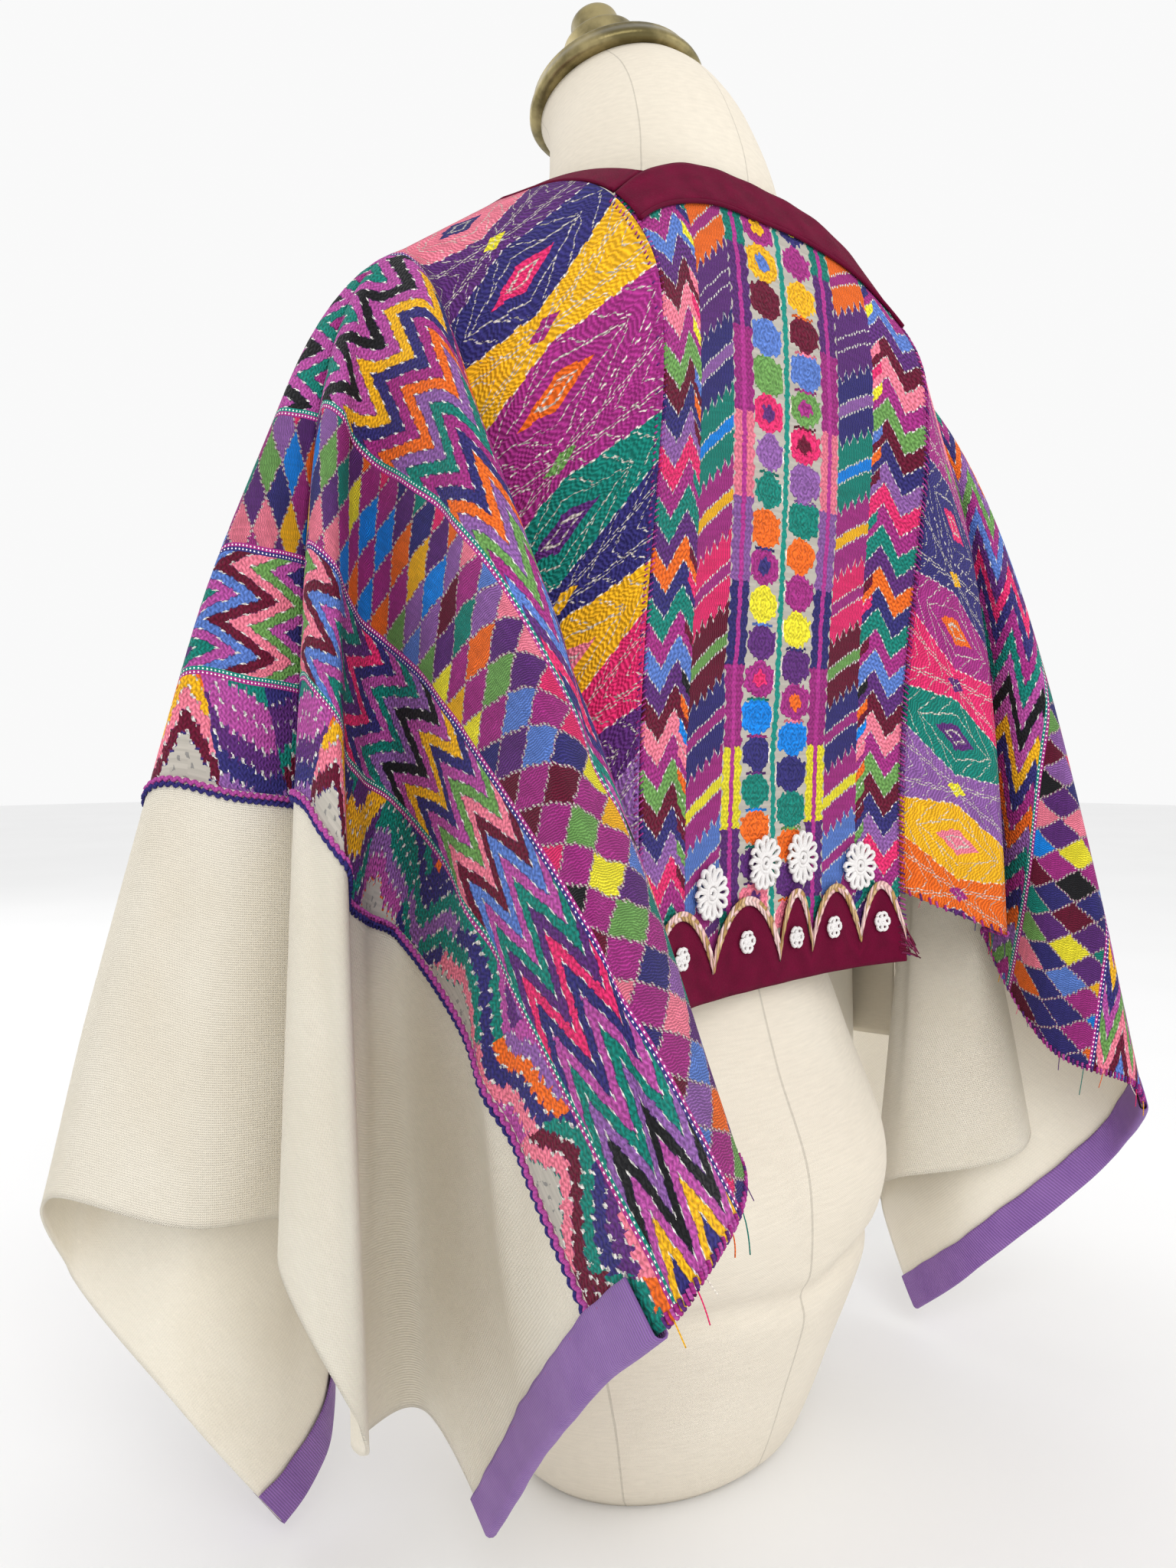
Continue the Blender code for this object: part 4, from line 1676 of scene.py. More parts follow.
RIGHT_BACK_CREASES = (
    (0.06, 0.14, 0.40, 0.56, 0.016, 0.0040),
    (0.14, 0.08, 0.50, 0.30, 0.014, 0.0042),
    (0.10, 0.22, 0.30, 0.62, 0.014, -0.0038),
    (0.22, 0.06, 0.50, 0.12, 0.012, -0.0034),
    (0.24, 0.20, 0.50, 0.48, 0.013, -0.0032),
    (0.03, 0.24, 0.10, 0.60, 0.012, 0.0030),
)
RIGHT_FRONT_CREASES = (
    (0.04, 0.18, 0.24, 0.60, 0.016, 0.0042),
    (0.12, 0.12, 0.44, 0.44, 0.015, -0.0040),
    (0.20, 0.07, 0.50, 0.20, 0.013, 0.0038),
    (0.22, 0.22, 0.50, 0.58, 0.017, 0.0040),
    (0.09, 0.24, 0.18, 0.62, 0.012, -0.0032),
)
BACK_CREASES = (
    # start x, start s, end x, end s, half width, height
    (0.120, 0.06, 0.085, 0.30, 0.014, 0.0022),
    (-0.118, 0.08, -0.070, 0.34, 0.016, -0.0020),
    (0.030, 0.12, 0.055, 0.36, 0.018, 0.0016),
    (-0.020, 0.05, -0.045, 0.24, 0.015, 0.0018),
    (0.090, 0.24, -0.030, 0.37, 0.013, -0.0016),
)
FRONT_CREASES = (
    (0.110, 0.05, 0.060, 0.32, 0.015, 0.0022),
    (-0.112, 0.06, -0.080, 0.30, 0.014, -0.0020),
    (-0.035, 0.10, -0.010, 0.36, 0.018, 0.0018),
    (0.015, 0.05, 0.050, 0.22, 0.014, 0.0016),
)
WINGS = (
    # name, side, half, apex, length of the turn beside the seam, rays, creases
    Wing("left_back", Side.LEFT, Half.BACK, LEFT_APEX, 0.072, LEFT_BACK_RAYS, LEFT_BACK_CREASES),
    Wing("left_front", Side.LEFT, Half.FRONT, LEFT_APEX, 0.072, LEFT_FRONT_RAYS, LEFT_FRONT_CREASES),
    Wing("right_back", Side.RIGHT, Half.BACK, RIGHT_APEX, 0.130, RIGHT_BACK_RAYS, RIGHT_BACK_CREASES),
    Wing("right_front", Side.RIGHT, Half.FRONT, RIGHT_APEX, 0.085, RIGHT_FRONT_RAYS, RIGHT_FRONT_CREASES),
)
PANELS = (
    Panel("back", Half.BACK, BACK_CREASES),
    Panel("front", Half.FRONT, FRONT_CREASES),
)


@dataclass
class WingDresser:
    """Dresses one wing half: its cloth, ribbon, stitches, chain and loose threads.

    Attributes:
        wing: The wing half.
        room: Makes the pieces.
        stitch_pitch: Distance between the ribbon's stitches.
        stitch: Their length.
        chain_pitch: Distance between the chain's scallops.
        chain_rows: Each cord's distance from the panel seam and its phase, in radians.
        overcast_pitch: Distance between the end edge's stitches.
        loose_threads: Number of loose threads at the end edge.
        waver: How uneven the sewing is.
    """

    wing: Wing
    room: Workroom
    stitch_pitch: float = 0.0072
    stitch: float = 0.0030
    chain_pitch: float = 0.0058
    chain_rows: tuple[Row, ...] = ((CHAIN_V - 0.0016, 0.0), (CHAIN_V + 0.0014, 1.8))
    overcast_pitch: float = 0.0042
    loose_threads: int = 16
    waver: float = 0.0008

    def build(self) -> None:
        """Builds the cloth, then what is sewn to it."""
        wing = self.wing
        cloth = self.room.sheet(
            Tag("cloth_" + wing.name, ("brocade", "plain"), "brocade", "wing_" + wing.name),
            WING_CELLS,
            ((0.0002, WING_LENGTH), (0.0, WING_WIDTH)),
            wing.dressed,
            wing.outward,
            CLOTH_THICK,
            (0.0 if wing.side is Side.LEFT else 1.0, 0.0),
        )
        trims = [self.ribbon(), self.stitches(), self.chain(), self.overcast(), self.fringe()]

    def edge_point(self, past: Array, out: Array, v: Array) -> Array:
        """Points near the end edge.

        Args:
            past: Distance past the edge along the cloth, less than 0 before it.
            out: Distance out of the cloth's outer face.
            v: Distance from the panel seam.

        Returns:
            Points.
        """
        wing = self.wing
        edge = np.full(v.shape, WING_LENGTH)
        inside = edge + np.minimum(past, 0.0)
        tangent = unit(wing.dressed(edge, v) - wing.dressed(edge - 0.004, v))
        face = normals(wing.surface, wing.outward, inside, v)
        return wing.dressed(inside, v) + tangent * np.maximum(past, 0.0)[..., None] + face * out[..., None]

    def ribbon(self) -> Object:
        """The ribbon folded round the end edge, with slightly uneven edges.

        Returns:
            The ribbon.
        """
        top = RIBBON_GAP + RIBBON_THICK
        bottom = -CLOTH_THICK - RIBBON_GAP - RIBBON_THICK
        bend = (top - bottom) / 2
        arc = math.pi * bend

        def place(a: Array, v: Array) -> Array:
            """Points of the ribbon's outer face.

            Args:
                a: Distance across the ribbon, from its outer edge round to the inner one.
                v: Distance from the panel seam.

            Returns:
                Points.
            """
            turn = np.clip((a - RIBBON_FLAP) / arc, 0, 1) * math.pi
            wavy = 0.0009 * np.sin(v * 210) + 0.0006 * np.sin(v * 97 + 1)
            flap = np.where(a < RIBBON_FLAP, RIBBON_FLAP - a, np.maximum(a - RIBBON_FLAP - arc, 0.0))
            bent = (turn > 0) & (turn < math.pi)
            past = np.where(bent, bend * np.sin(turn) * 0.85, -flap * (1 + wavy * 12))
            out = (top + bottom) / 2 + bend * np.cos(turn)
            return self.edge_point(past, out + 0.0002 * np.sin(v * 160), v)

        name = self.wing.name
        return self.room.sheet(
            Tag("binding_" + name, ("ribbon",), "lilac_ribbon", "ribbon_" + name),
            RIBBON_CELLS,
            ((0.0, 2 * RIBBON_FLAP + arc), (RIBBON_START, WING_WIDTH)),
            place,
            -self.wing.outward,
            RIBBON_THICK,
        )

    def stitches(self) -> Object:
        """Small red stitches along the ribbon's inner edge.

        Returns:
            The stitches.
        """
        number = int((WING_WIDTH - RIBBON_START) / self.stitch_pitch)
        uneven_by = spread(number, 3.0)[:, None]
        share = np.linspace(0, 1, 5)[None, :]
        v = RIBBON_START + (np.arange(number)[:, None] + 0.4 + 0.4 * uneven_by) * self.stitch_pitch
        past = -RIBBON_FLAP + 0.0006 + self.stitch * share + self.waver * uneven_by
        out = RIBBON_GAP + RIBBON_THICK + 0.0004 * np.sin(share * math.pi) + 0.0 * uneven_by
        paths = self.edge_point(past, out, v + 0.0016 * share * (uneven_by - 0.3))
        tag = Tag("ribbon_stitches_" + self.wing.name, ("red_thread",), "lilac_ribbon")
        return self.room.threads(tag, paths, 0.0004)

    def chain(self) -> Object:
        """Two scalloped cords between the brocade and the plain cloth, pink above navy.

        Returns:
            Both cords.
        """
        wing = self.wing
        u = np.linspace(0.0012, WING_LENGTH - 0.002, 560)
        rows = []
        for place, offset in self.chain_rows:
            phase = u * (2 * math.pi / self.chain_pitch) + offset
            v, height = place + 0.0009 * np.sin(phase), 0.0009 + 0.0006 * np.cos(phase)
            rows.append(lift(wing.dressed, wing.outward, u, v, height))
        tag = Tag("chain_" + wing.name, ("link_yarn",), "brocade")
        return self.room.threads(tag, np.stack(rows), 0.00125, sides=6)

    def overcast(self) -> Object:
        """Slanted stitches that bind the end edge down to the ribbon.

        Returns:
            The stitches.
        """
        number = int((RIBBON_START - 0.004) / self.overcast_pitch)
        uneven_by = spread(number, 6.0)[:, None]
        share = np.linspace(0, 1, 7)[None, :]
        v = 0.003 + (np.arange(number)[:, None] + 0.3 * uneven_by + 0.55 * share) * self.overcast_pitch
        turn = share * math.pi
        past = -0.0028 - self.waver * uneven_by + (0.0034 + 0.0006 * uneven_by) * np.sin(turn)
        out = -CLOTH_THICK / 2 + (CLOTH_THICK / 2 + 0.0005) * np.cos(turn) + 0.0 * uneven_by
        tag = Tag("overcast_" + self.wing.name, ("edge_yarn",), "brocade")
        return self.room.threads(tag, self.edge_point(past, out, v), 0.0009)

    def fringe(self) -> Object:
        """Loose thread ends at the overcast edge.

        Returns:
            The threads.
        """
        place, long, swing = (spread(self.loose_threads, seed)[:, None] for seed in (1.0, 5.0, 9.0))
        share = np.linspace(0, 1, 6)[None, :]
        length = 0.005 + 0.012 * long**2
        number = np.arange(self.loose_threads)[:, None]
        v = 0.004 + (RIBBON_START - 0.008) * (number + place) / self.loose_threads
        out = -CLOTH_THICK / 2 + (swing - 0.5) * 0.008 * share**2
        paths = self.edge_point(share * length - 0.0006, out, v + 0.004 * (place - 0.5) * share)
        paths[..., 2] -= 0.35 * length * share**2
        tag = Tag("loose_threads_" + self.wing.name, ("bright_yarn",), "brocade")
        return self.room.threads(tag, paths, 0.0003, sides=4)


def arch_heights(x: Array) -> Array:
    """Height of the hem band's scalloped top over the hem.

    Args:
        x: Distance across.

    Returns:
        Heights.
    """
    ends = np.array(ARCH_ENDS)
    x = np.clip(x, ends[0], ends[-1])
    i = np.clip(np.searchsorted(ends, x) - 1, 0, len(ends) - 2)
    share = (x - ends[i]) / (ends[i + 1] - ends[i])
    return CUSP_HEIGHT + ARCH_RISE * np.maximum(np.sin(math.pi * share), 0.0) ** 0.7


def hem_edge(x: Array) -> Array:
    """Distance of the scalloped edge from the neck edge."""
    return PANEL_LENGTH - arch_heights(x)


def neck_edge(x: Array) -> Array:
    """Slightly wavy lower edge of the velvet at the neck."""
    return NECK_BAND_WIDTH + 0.0004 * np.sin(x * 90)


def rolled(share: Array, floor: float) -> Array:
    """Height of a rolled edge: the floor at share 0, and 1 from share 1 on."""
    return floor + (1 - floor) * np.sqrt(1 - (1 - np.clip(share, 0, 1)) ** 2)


@dataclass(frozen=True)
class FlowerKind:
    """One kind of crocheted flower.

    Attributes:
        name: Its name.
        places: Distance across and height over the hem of each.
        radius: Outer radius.
        petals: Number of petals.
        height: Height of its underside over the panel's cloth.
        yarn: Radius of its yarn, as a share of the flower's.
    """

    name: str
    places: tuple[Row, ...]
    radius: float
    petals: int
    height: float
    yarn: float

    def loops(self, seed: float) -> tuple[Array, Array, Array]:
        """Petals looped round two rings, on the flat.

        Args:
            seed: Makes the petals uneven in another way.

        Returns:
            Distance across, distance down and height of each loop's points.
        """
        uneven_by = spread(self.petals, seed)[:, None]
        turn = np.linspace(0, 2 * math.pi, 14, endpoint=False)[None, :]
        way = 2 * math.pi * (np.arange(self.petals)[:, None] + 0.18 * (uneven_by - 0.5)) / self.petals
        thick = self.yarn * self.radius
        reach = self.radius * (0.93 + 0.09 * uneven_by) - thick
        along = 0.66 * reach + 0.34 * reach * np.cos(turn)
        aside = (math.pi * self.radius / self.petals - thick) * np.sin(turn) * (0.72 + 0.34 * np.cos(turn))
        across = along * np.cos(way) - aside * np.sin(way)
        down = along * np.sin(way) + aside * np.cos(way)
        lifted = thick * (1.05 + 0.30 * np.cos(turn)) + 0.0 * way
        for share in (0.15, 0.32):
            across = np.vstack([across, share * self.radius * np.cos(turn)])
            down = np.vstack([down, share * self.radius * np.sin(turn)])
            lifted = np.vstack([lifted, thick * (1.5 - share) + 0.0 * turn])
        return across, down, self.height + lifted


FLOWERS = (
    FlowerKind("daisy", DAISY_PLACES, DAISY_RADIUS * 1.1, DAISY_PETALS, TRIM_GAP, FLOWER_YARN),
    FlowerKind("blossom", BLOSSOM_PLACES, BLOSSOM_RADIUS * 1.05, BLOSSOM_PETALS, HEM_TOP, FLOWER_YARN * 1.7),
)


@dataclass
class PanelDresser:
    """Dresses one centre panel: its cloth, velvet bands, braid and flowers.

    Attributes:
        panel: The panel.
        room: Makes the pieces.
        inset: How far the bands end before the panel's sides.
        velvet_thick: Thickness of the velvet.
        braid_thick: Thickness of the braid at its edges.
        piping: Radius of the rolled edge.
    """

    panel: Panel
    room: Workroom
    inset: float = 0.0003
    velvet_thick: float = 0.0011
    braid_thick: float = 0.0009
    piping: float = 0.0013

    @property
    def width(self) -> Row:
        """Ends of the bands, across the panel."""
        return (self.inset - CENTRE_HALF, CENTRE_HALF - self.inset)

    def build(self) -> None:
        """Builds the cloth, then what is sewn to it."""
        panel = self.panel
        cloth = self.room.sheet(
            Tag("cloth_" + panel.name, ("panel", "plain"), "brocade", "panel_" + panel.name),
            PANEL_CELLS,
            ((-CENTRE_HALF, CENTRE_HALF), (0.0, PANEL_LENGTH)),
            panel.dressed,
            panel.outward,
            CLOTH_THICK,
            (0.0, 0.0 if panel.half is Half.BACK else 1.0),
        )
        trims = [
            self.band("neck", (90, 12), np.zeros_like, neck_edge),
            self.neck_piping(),
            self.band("hem", (200, 14), hem_edge, lambda x: np.full_like(x, PANEL_LENGTH)),
            self.braid(),
            *self.flowers(),
        ]

    def band(self, kind: str, cells: tuple[int, int], start: Line, end: Line) -> Object:
        """A velvet band between two lines across the panel, with rolled edges.

        Args:
            kind: Its part of the name.
            cells: Cells across and down.
            start: Distance of its upper edge from the neck, at x.
            end: Distance of its lower edge.

        Returns:
            The band.
        """
        panel = self.panel

        def place(x: Array, share: Array) -> Array:
            """Points of the band's face.

            Args:
                x: Distance across.
                share: Share of its depth.

            Returns:
                Points.
            """
            depth = end(x) - start(x)
            roll = rolled(np.minimum(share, 1 - share) * np.abs(depth) / 0.0016, 0.45)
            height = TRIM_GAP + NECK_BAND_THICK * roll + 0.00025 * np.sin(x * 190 + share * 3)
            return lift(panel.surface, panel.outward, x, start(x) + depth * share, height)

        tag = Tag(f"velvet_{kind}_{panel.name}", ("velvet",), "burgundy_velvet", f"{kind}_band_{panel.name}")
        return self.room.sheet(tag, cells, (self.width, (0.0, 1.0)), place, panel.outward, self.velvet_thick)

    def neck_piping(self) -> Object:
        """The rolled lower edge of the velvet at the neck.

        Returns:
            The roll.
        """
        x = np.linspace(-CENTRE_HALF + 0.001, CENTRE_HALF - 0.001, 160)
        path = lift(self.panel.surface, self.panel.outward, x, neck_edge(x), TRIM_GAP + 0.0008)
        tag = Tag("neck_piping_" + self.panel.name, ("velvet",), "burgundy_velvet")
        return self.room.threads(tag, path[None], self.piping, sides=8)

    def braid(self) -> Object:
        """The braid along the arches, with a domed face.

        Returns:
            The braid.
        """
        panel = self.panel

        def place(x: Array, b: Array) -> Array:
            """Points of the braid's face.

            Args:
                x: Distance across.
                b: Distance from its middle line.

            Returns:
                Points.
            """
            slope = (arch_heights(x + 0.001) - arch_heights(x - 0.001)) / 0.002
            stretch = np.minimum(np.hypot(1, slope), 2.0)
            dome = BRAID_THICK * (0.55 + 0.45 * (1 - (2 * b / BRAID_WIDTH) ** 2)) + 0.0002 * np.sin(x * 2200)
            return lift(panel.surface, panel.outward, x, hem_edge(x) + b * stretch, HEM_TOP + dome)

        tag = Tag("braid_" + panel.name, ("braid",), "pink_braid", "hem_braid_" + panel.name)
        measure = (self.width, (-BRAID_WIDTH / 2, BRAID_WIDTH / 2))
        return self.room.sheet(tag, (300, 6), measure, place, panel.outward, self.braid_thick)

    def flowers(self) -> list[Object]:
        """The daisies over the arches and the blossoms under them.

        Returns:
            All flowers.
        """
        panel, made = self.panel, []
        for kind in FLOWERS:
            for number, (x, over_hem) in enumerate(kind.places, start=1):
                across, down, height = kind.loops(x * 100 + 5)
                paths = lift(panel.surface, panel.outward, x + across, PANEL_LENGTH - over_hem + down, height)
                node = f"{kind.name}_{panel.name}_{number}"
                tag = Tag("crochet_" + node, ("crochet",), "white_crochet", node)
                made.append(self.room.threads(tag, paths, kind.yarn * kind.radius, sides=6, closed=True))
        return made


@dataclass
class NeckStrap:
    """Velvet over one shoulder, between the neck opening and the wing.

    Attributes:
        side: Left or right.
        room: Makes the pieces.
        piping: Radius of the rolled edge.
    """

    side: Side
    room: Workroom
    piping: float = 0.0013

    def place(self, a: Array, b: Array) -> Array:
        """Points of the strap.

        Args:
            a: Share of its length.
            b: Share of its width, out from the neck opening.

        Returns:
            Points.
        """
        side = self.side.value
        corner = PANELS[0].surface(np.array([NECK_HALF]), np.array([0.0]))[0]
        share = 2 * (STRAP_TRIM + a * (1 - 2 * STRAP_TRIM)) - 1
        b = b * (1 - 3 * STRAP_TRIM)
        seam = table_values(SEAM_ROWS, np.abs(share) * NECK_CORNER)
        way = np.sign(share + 1e-9)
        outer = np.stack([np.full(a.shape, side * CENTRE_HALF), way * seam[..., 0], seam[..., 1]], axis=-1)
        rise = (NECK_RIDGE - corner[2]) * (1 - share**2)
        inner = np.stack([np.full(a.shape, side * NECK_HALF), share * corner[1], corner[2] + rise], axis=-1)
        points = inner + (outer - inner) * b[..., None]
        points[..., 2] += NECK_BAND_THICK * rolled(np.minimum(b, 1 - b) / 0.06, 0.4)
        return points

    def build(self) -> None:
        """Builds the strap and its rolled edge."""
        name = self.side.name.lower()
        tag = Tag("velvet_strap_" + name, ("velvet",), "burgundy_velvet", "neck_band_" + name)
        measure = ((0.0, 1.0), (0.0, 1.0))
        strap = self.room.sheet(tag, (80, 14), measure, self.place, -self.side.value, CLOTH_THICK)
        path = self.place(np.linspace(0.01, 0.99, 120), np.ones(120)) - (0, 0, 0.0004)
        tag = Tag("neck_piping_" + name, ("velvet",), "burgundy_velvet")
        piping = self.room.threads(tag, path[None], self.piping, sides=8)


@dataclass
class SeamStitches:
    """The stitches that join a centre panel to its two wings.

    Attributes:
        panel: The centre panel.
        room: Makes the pieces.
        pitch: Distance between stitches.
        radius: Radius of their thread.
    """

    panel: Panel
    room: Workroom
    pitch: float = 0.0036
    radius: float = 0.0006

    def build(self) -> None:
        """Builds the stitches of both seams, as one object."""
        panel, paths = self.panel, []
        seam = SEAM_ROWS[-1][0] - NECK_CORNER
        number = int((seam - 0.004) / self.pitch)
        share = np.linspace(0, 1, 5)[None, :, None]
        for wing in WINGS:
            if wing.half is not panel.half:
                continue
            places = np.arange(number) + 0.3 * spread(number, wing.side.value + 2.0)
            u = NECK_CORNER + 0.002 + places * self.pitch
            s = (u - NECK_CORNER) / seam * PANEL_LENGTH
            x = np.full(number, wing.side.value * (CENTRE_HALF - 0.0014))
            near = lift(panel.surface, panel.outward, x, s, 0.0)[:, None]
            far = lift(wing.dressed, wing.outward, u + 0.0012, np.full(number, 0.0016), 0.0)[:, None]
            face = normals(wing.surface, wing.outward, u, np.full(number, 0.002))[:, None]
            paths.append(near + (far - near) * share + face * 0.0008 * np.sin(share * math.pi))
        tag = Tag("seam_stitches_" + panel.name, ("edge_yarn",), "brocade")
        self.room.threads(tag, np.concatenate(paths), self.radius, sides=4)


def bell(value: Array, middle: Union[Array, float], width: float) -> Array:
    """Bell curve that is 1 at its middle."""
    return np.exp(-(((value - middle) / width) ** 2))


@dataclass
class DressForm:
    """The padded form's linen cover and its turned cap and knob.

    Attributes:
        room: Makes the pieces.
        cells: Faces round the form and up it.
        shrink: Keeps the smooth cover inside the faceted solid's corners.
        seat: Height of the seat's fullest line.
        fold: Height of the fold under the seat.
    """

    room: Workroom
    cells: tuple[int, int] = (144, 190)
    shrink: float = 0.997
    seat: float = 0.195
    fold: float = 0.147

    def build(self) -> None:
        """Builds the cover, the cap and the knob."""
        self.cover()
        for node, profile in (("form_cap", CAP_PROFILE), ("form_knob", KNOB_PROFILE)):
            self.turned(node, profile)

    def cover(self) -> None:
        """The linen cover, with a seat."""
        shape, flat = new_grid(*self.cells)
        top = FORM_SECTIONS[-1]
        height = flat[:, 1] * top[0]
        turn = flat[:, 0] * 2 * math.pi
        back = np.degrees(turn)
        half_width, half_depth, centre_y = np.moveaxis(table_values(FORM_SECTIONS, height), -1, 0)
        lobes = bell(back, 62, 20) + bell(back, 118, 20)
        swell = bell(height, self.seat, 0.040) * (0.008 * lobes - 0.004 * bell(back, 90, 6))
        fold = self.fold - 0.010 * bell(back, 90, 14)
        swell -= 0.006 * bell(height, fold, 0.009) * np.clip(np.sin(turn) * 1.6, 0, 1)
        x = (half_width * self.shrink + swell) * np.cos(turn)
        y = centre_y + (half_depth * self.shrink + swell) * np.sin(turn)
        lean = smooth_step(0.90, 1.0, height / top[0]) * (y - top[3]) * math.tan(NECK_LEAN)
        points = np.stack([x, y, height + lean], axis=-1)
        shape_grid(shape, points, turn * FORM_GIRTH_UNIT, height)
        bmesh.ops.remove_doubles(shape, verts=shape.verts[:], dist=1e-6)
        bmesh.ops.holes_fill(shape, edges=[edge for edge in shape.edges if edge.is_boundary])
        bmesh.ops.recalc_face_normals(shape, faces=shape.faces[:])
        self.room.piece(Tag("form_cover", ("linen",), "form_linen", "form_body"), shape)

    def turned(self, node: str, profile: Sequence[Row]) -> None:
        """A turned piece on the leaning top of the neck, with rounded steps.

        Args:
            node: The CAD node that it stands for.
            profile: Radius and height of each step.
        """
        rows = [(float(i), radius, height) for i, (radius, height) in enumerate(profile)]
        fine = table_values(rows, np.linspace(0, len(rows) - 1, (len(rows) - 1) * 6 + 1))
        shape = bmesh.new()
        verts = [shape.verts.new((max(radius, 0.0), 0.0, height)) for radius, height in fine]
        edges = [shape.edges.new(pair) for pair in zip(verts, verts[1:])]
        around = {"axis": (0, 0, 1), "cent": (0, 0, 0), "angle": 2 * math.pi}
        bmesh.ops.spin(shape, geom=verts + edges, steps=72, use_merge=True, **around)
        bmesh.ops.remove_doubles(shape, verts=shape.verts[:], dist=2e-5)
        # The spin stores its corners and faces in another order each run.
        line = Vector((1.0, 7.3, 53.1))
        shape.verts.sort(key=lambda vert: vert.co.dot(line))
        shape.faces.sort(key=lambda face: face.calc_center_median().dot(line))
        bmesh.ops.recalc_face_normals(shape, faces=shape.faces[:])
        top = FORM_SECTIONS[-1]
        place = Matrix.Translation((0, top[3], top[0] + 0.0005)) @ Matrix.Rotation(NECK_LEAN, 4, "X")
        bmesh.ops.transform(shape, matrix=place, verts=shape.verts[:])
        self.room.piece(Tag("turned_" + node, ("brass",), "aged_brass", node), shape)


@dataclass
class Tuft:
    """The frayed burgundy threads at the right end of the back hem.

    Attributes:
        room: Makes the piece.
        threads: Number of threads.
        radius: Their radius.
    """

    room: Workroom
    threads: int = 30
    radius: float = 0.0005

    def build(self) -> None:
        """Builds the threads, as one object."""
        panel = PANELS[0]
        one, two, three = (spread(self.threads, seed)[:, None] for seed in (2.0, 4.0, 6.0))
        share = np.linspace(0, 1, 7)[None, :]
        x = -CENTRE_HALF + 0.002 + 0.004 * one + 0.0 * share
        s = PANEL_LENGTH - 0.006 - 0.024 * two + 0.0 * share
        paths = lift(panel.surface, panel.outward, x, s, 0.0022)
        reach = 0.008 + 0.014 * three
        paths[..., 0] -= share * reach * (0.35 + 0.5 * one)
        paths[..., 1] += share * reach * 0.35
        paths[..., 2] -= share**2 * reach * (0.2 + 0.8 * two)
        tag = Tag("hem_tuft", ("tuft_yarn",), "burgundy_velvet")
        self.room.threads(tag, paths, self.radius, sides=4)


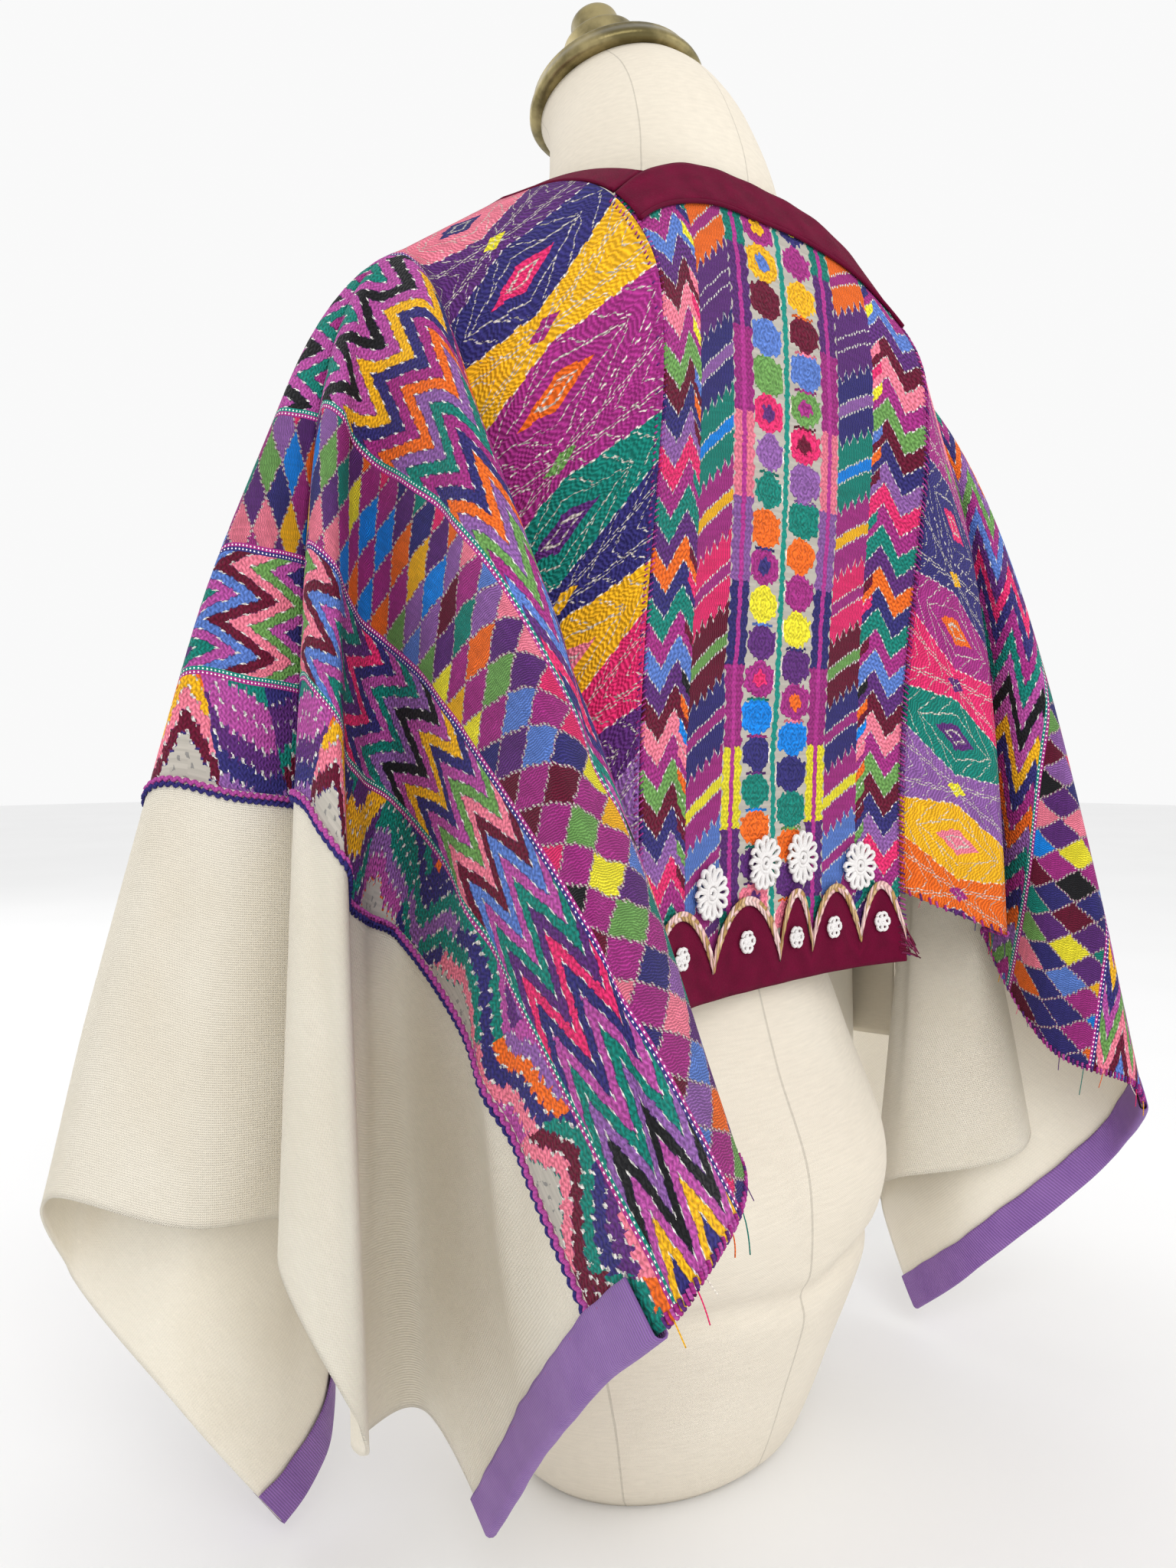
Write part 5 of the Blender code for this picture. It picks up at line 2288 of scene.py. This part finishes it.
@dataclass
class Studio:
    """Camera, lights and floor.

    Attributes:
        eye: The camera's place.
        heading: Horizontal direction that the picture's vanishing lines give, before the small turn.
        turn: Turn from that heading, in degrees.
        pitch: Tilt up, in degrees.
        lens: Focal length for 36 mm on the long side.
        aim: What the lamps are turned to.
        lamps: Name, place, width and power in watts of each soft lamp.
        sky: Strength of the white surroundings.
        floor: Radius of the floor.
    """

    eye: Row = (0.62, 0.58, 0.50)
    heading: Row = (-0.731, -0.682, 0.0)
    turn: float = 2.94
    pitch: float = -3.08
    lens: float = 28.09
    aim: Row = (0.0, 0.0, 0.5)
    lamps: tuple[tuple[str, Row, float, float], ...] = (
        ("key", (1.3, 2.0, 2.0), 1.6, 24.0),
        ("fill", (-1.6, 2.0, 1.2), 2.0, 9.0),
        ("front", (0.6, -2.2, 1.6), 2.2, 12.0),
    )
    sky: float = 0.95
    floor: float = 7.0

    def stand(self, data: bpy.types.ID, place: Row, look: Vector) -> Object:
        """Stands a camera or a lamp in the scene.

        Args:
            data: The camera or lamp.
            place: Where it stands.
            look: Direction that it looks in.

        Returns:
            Its object.
        """
        obj = bpy.data.objects.new(data.name, data)
        obj.location = place
        obj.rotation_euler = look.to_track_quat("-Z", "Y").to_euler()
        bpy.context.scene.collection.objects.link(obj)
        return obj

    def add_camera(self) -> None:
        """Places the camera."""
        data = bpy.data.cameras.new("camera")
        data.lens = self.lens
        data.sensor_width = 36.0
        data.clip_start = 0.02
        ahead = Matrix.Rotation(math.radians(self.turn), 3, "Z") @ Vector(self.heading).normalized()
        pitch = math.radians(self.pitch)
        look = ahead * math.cos(pitch) + Vector((0, 0, math.sin(pitch)))
        bpy.context.scene.camera = self.stand(data, self.eye, look)

    def add_lamps(self) -> None:
        """Adds the soft lamps and the white surroundings."""
        for name, place, size, power in self.lamps:
            data = bpy.data.lights.new(name, "AREA")
            data.size = size
            data.energy = power
            self.stand(data, place, Vector(self.aim) - Vector(place))
        world = bpy.data.worlds.new("studio")
        world.use_nodes = True
        background = world.node_tree.nodes["Background"]
        background.inputs["Color"].default_value = (1.0, 1.0, 1.0, 1.0)
        background.inputs["Strength"].default_value = self.sky
        bpy.context.scene.world = world

    def add_floor(self) -> None:
        """Adds the pale floor."""
        shape = bmesh.new()
        bmesh.ops.create_circle(shape, cap_ends=True, segments=96, radius=self.floor)
        mesh = bpy.data.meshes.new("floor")
        shape.to_mesh(mesh)
        shape.free()
        material = bpy.data.materials.new("pale_floor")
        material.use_nodes = True
        shader = material.node_tree.nodes["Principled BSDF"]
        pen = Pen(material)
        pen.connect(shader.inputs["Base Color"], pen.mix(pen.noise(None, 3.0), *FLOOR))
        pen.connect(shader.inputs["Roughness"], 0.9)
        mesh.materials.append(material)
        floor = bpy.data.objects.new("floor", mesh)
        bpy.context.scene.collection.objects.link(floor)

    def build(self) -> None:
        """Adds the camera, the lights, the white surroundings and the floor."""
        self.add_camera()
        self.add_lamps()
        self.add_floor()
        bpy.context.scene.view_settings.view_transform = "Standard"


def main() -> None:
    """Builds the dressed model."""
    logging.basicConfig(level=logging.INFO, format="%(message)s")
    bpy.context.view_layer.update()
    log.info("frame: %d nodes", len(frame["nodes"]))
    Studio().build()
    room = Workroom()
    DressForm(room).build()
    for panel in PANELS:
        PanelDresser(panel, room).build()
        SeamStitches(panel, room).build()
    for side in Side:
        NeckStrap(side, room).build()
    for wing in WINGS:
        WingDresser(wing, room).build()
    Tuft(room).build()


if __name__ == "__main__":
    main()
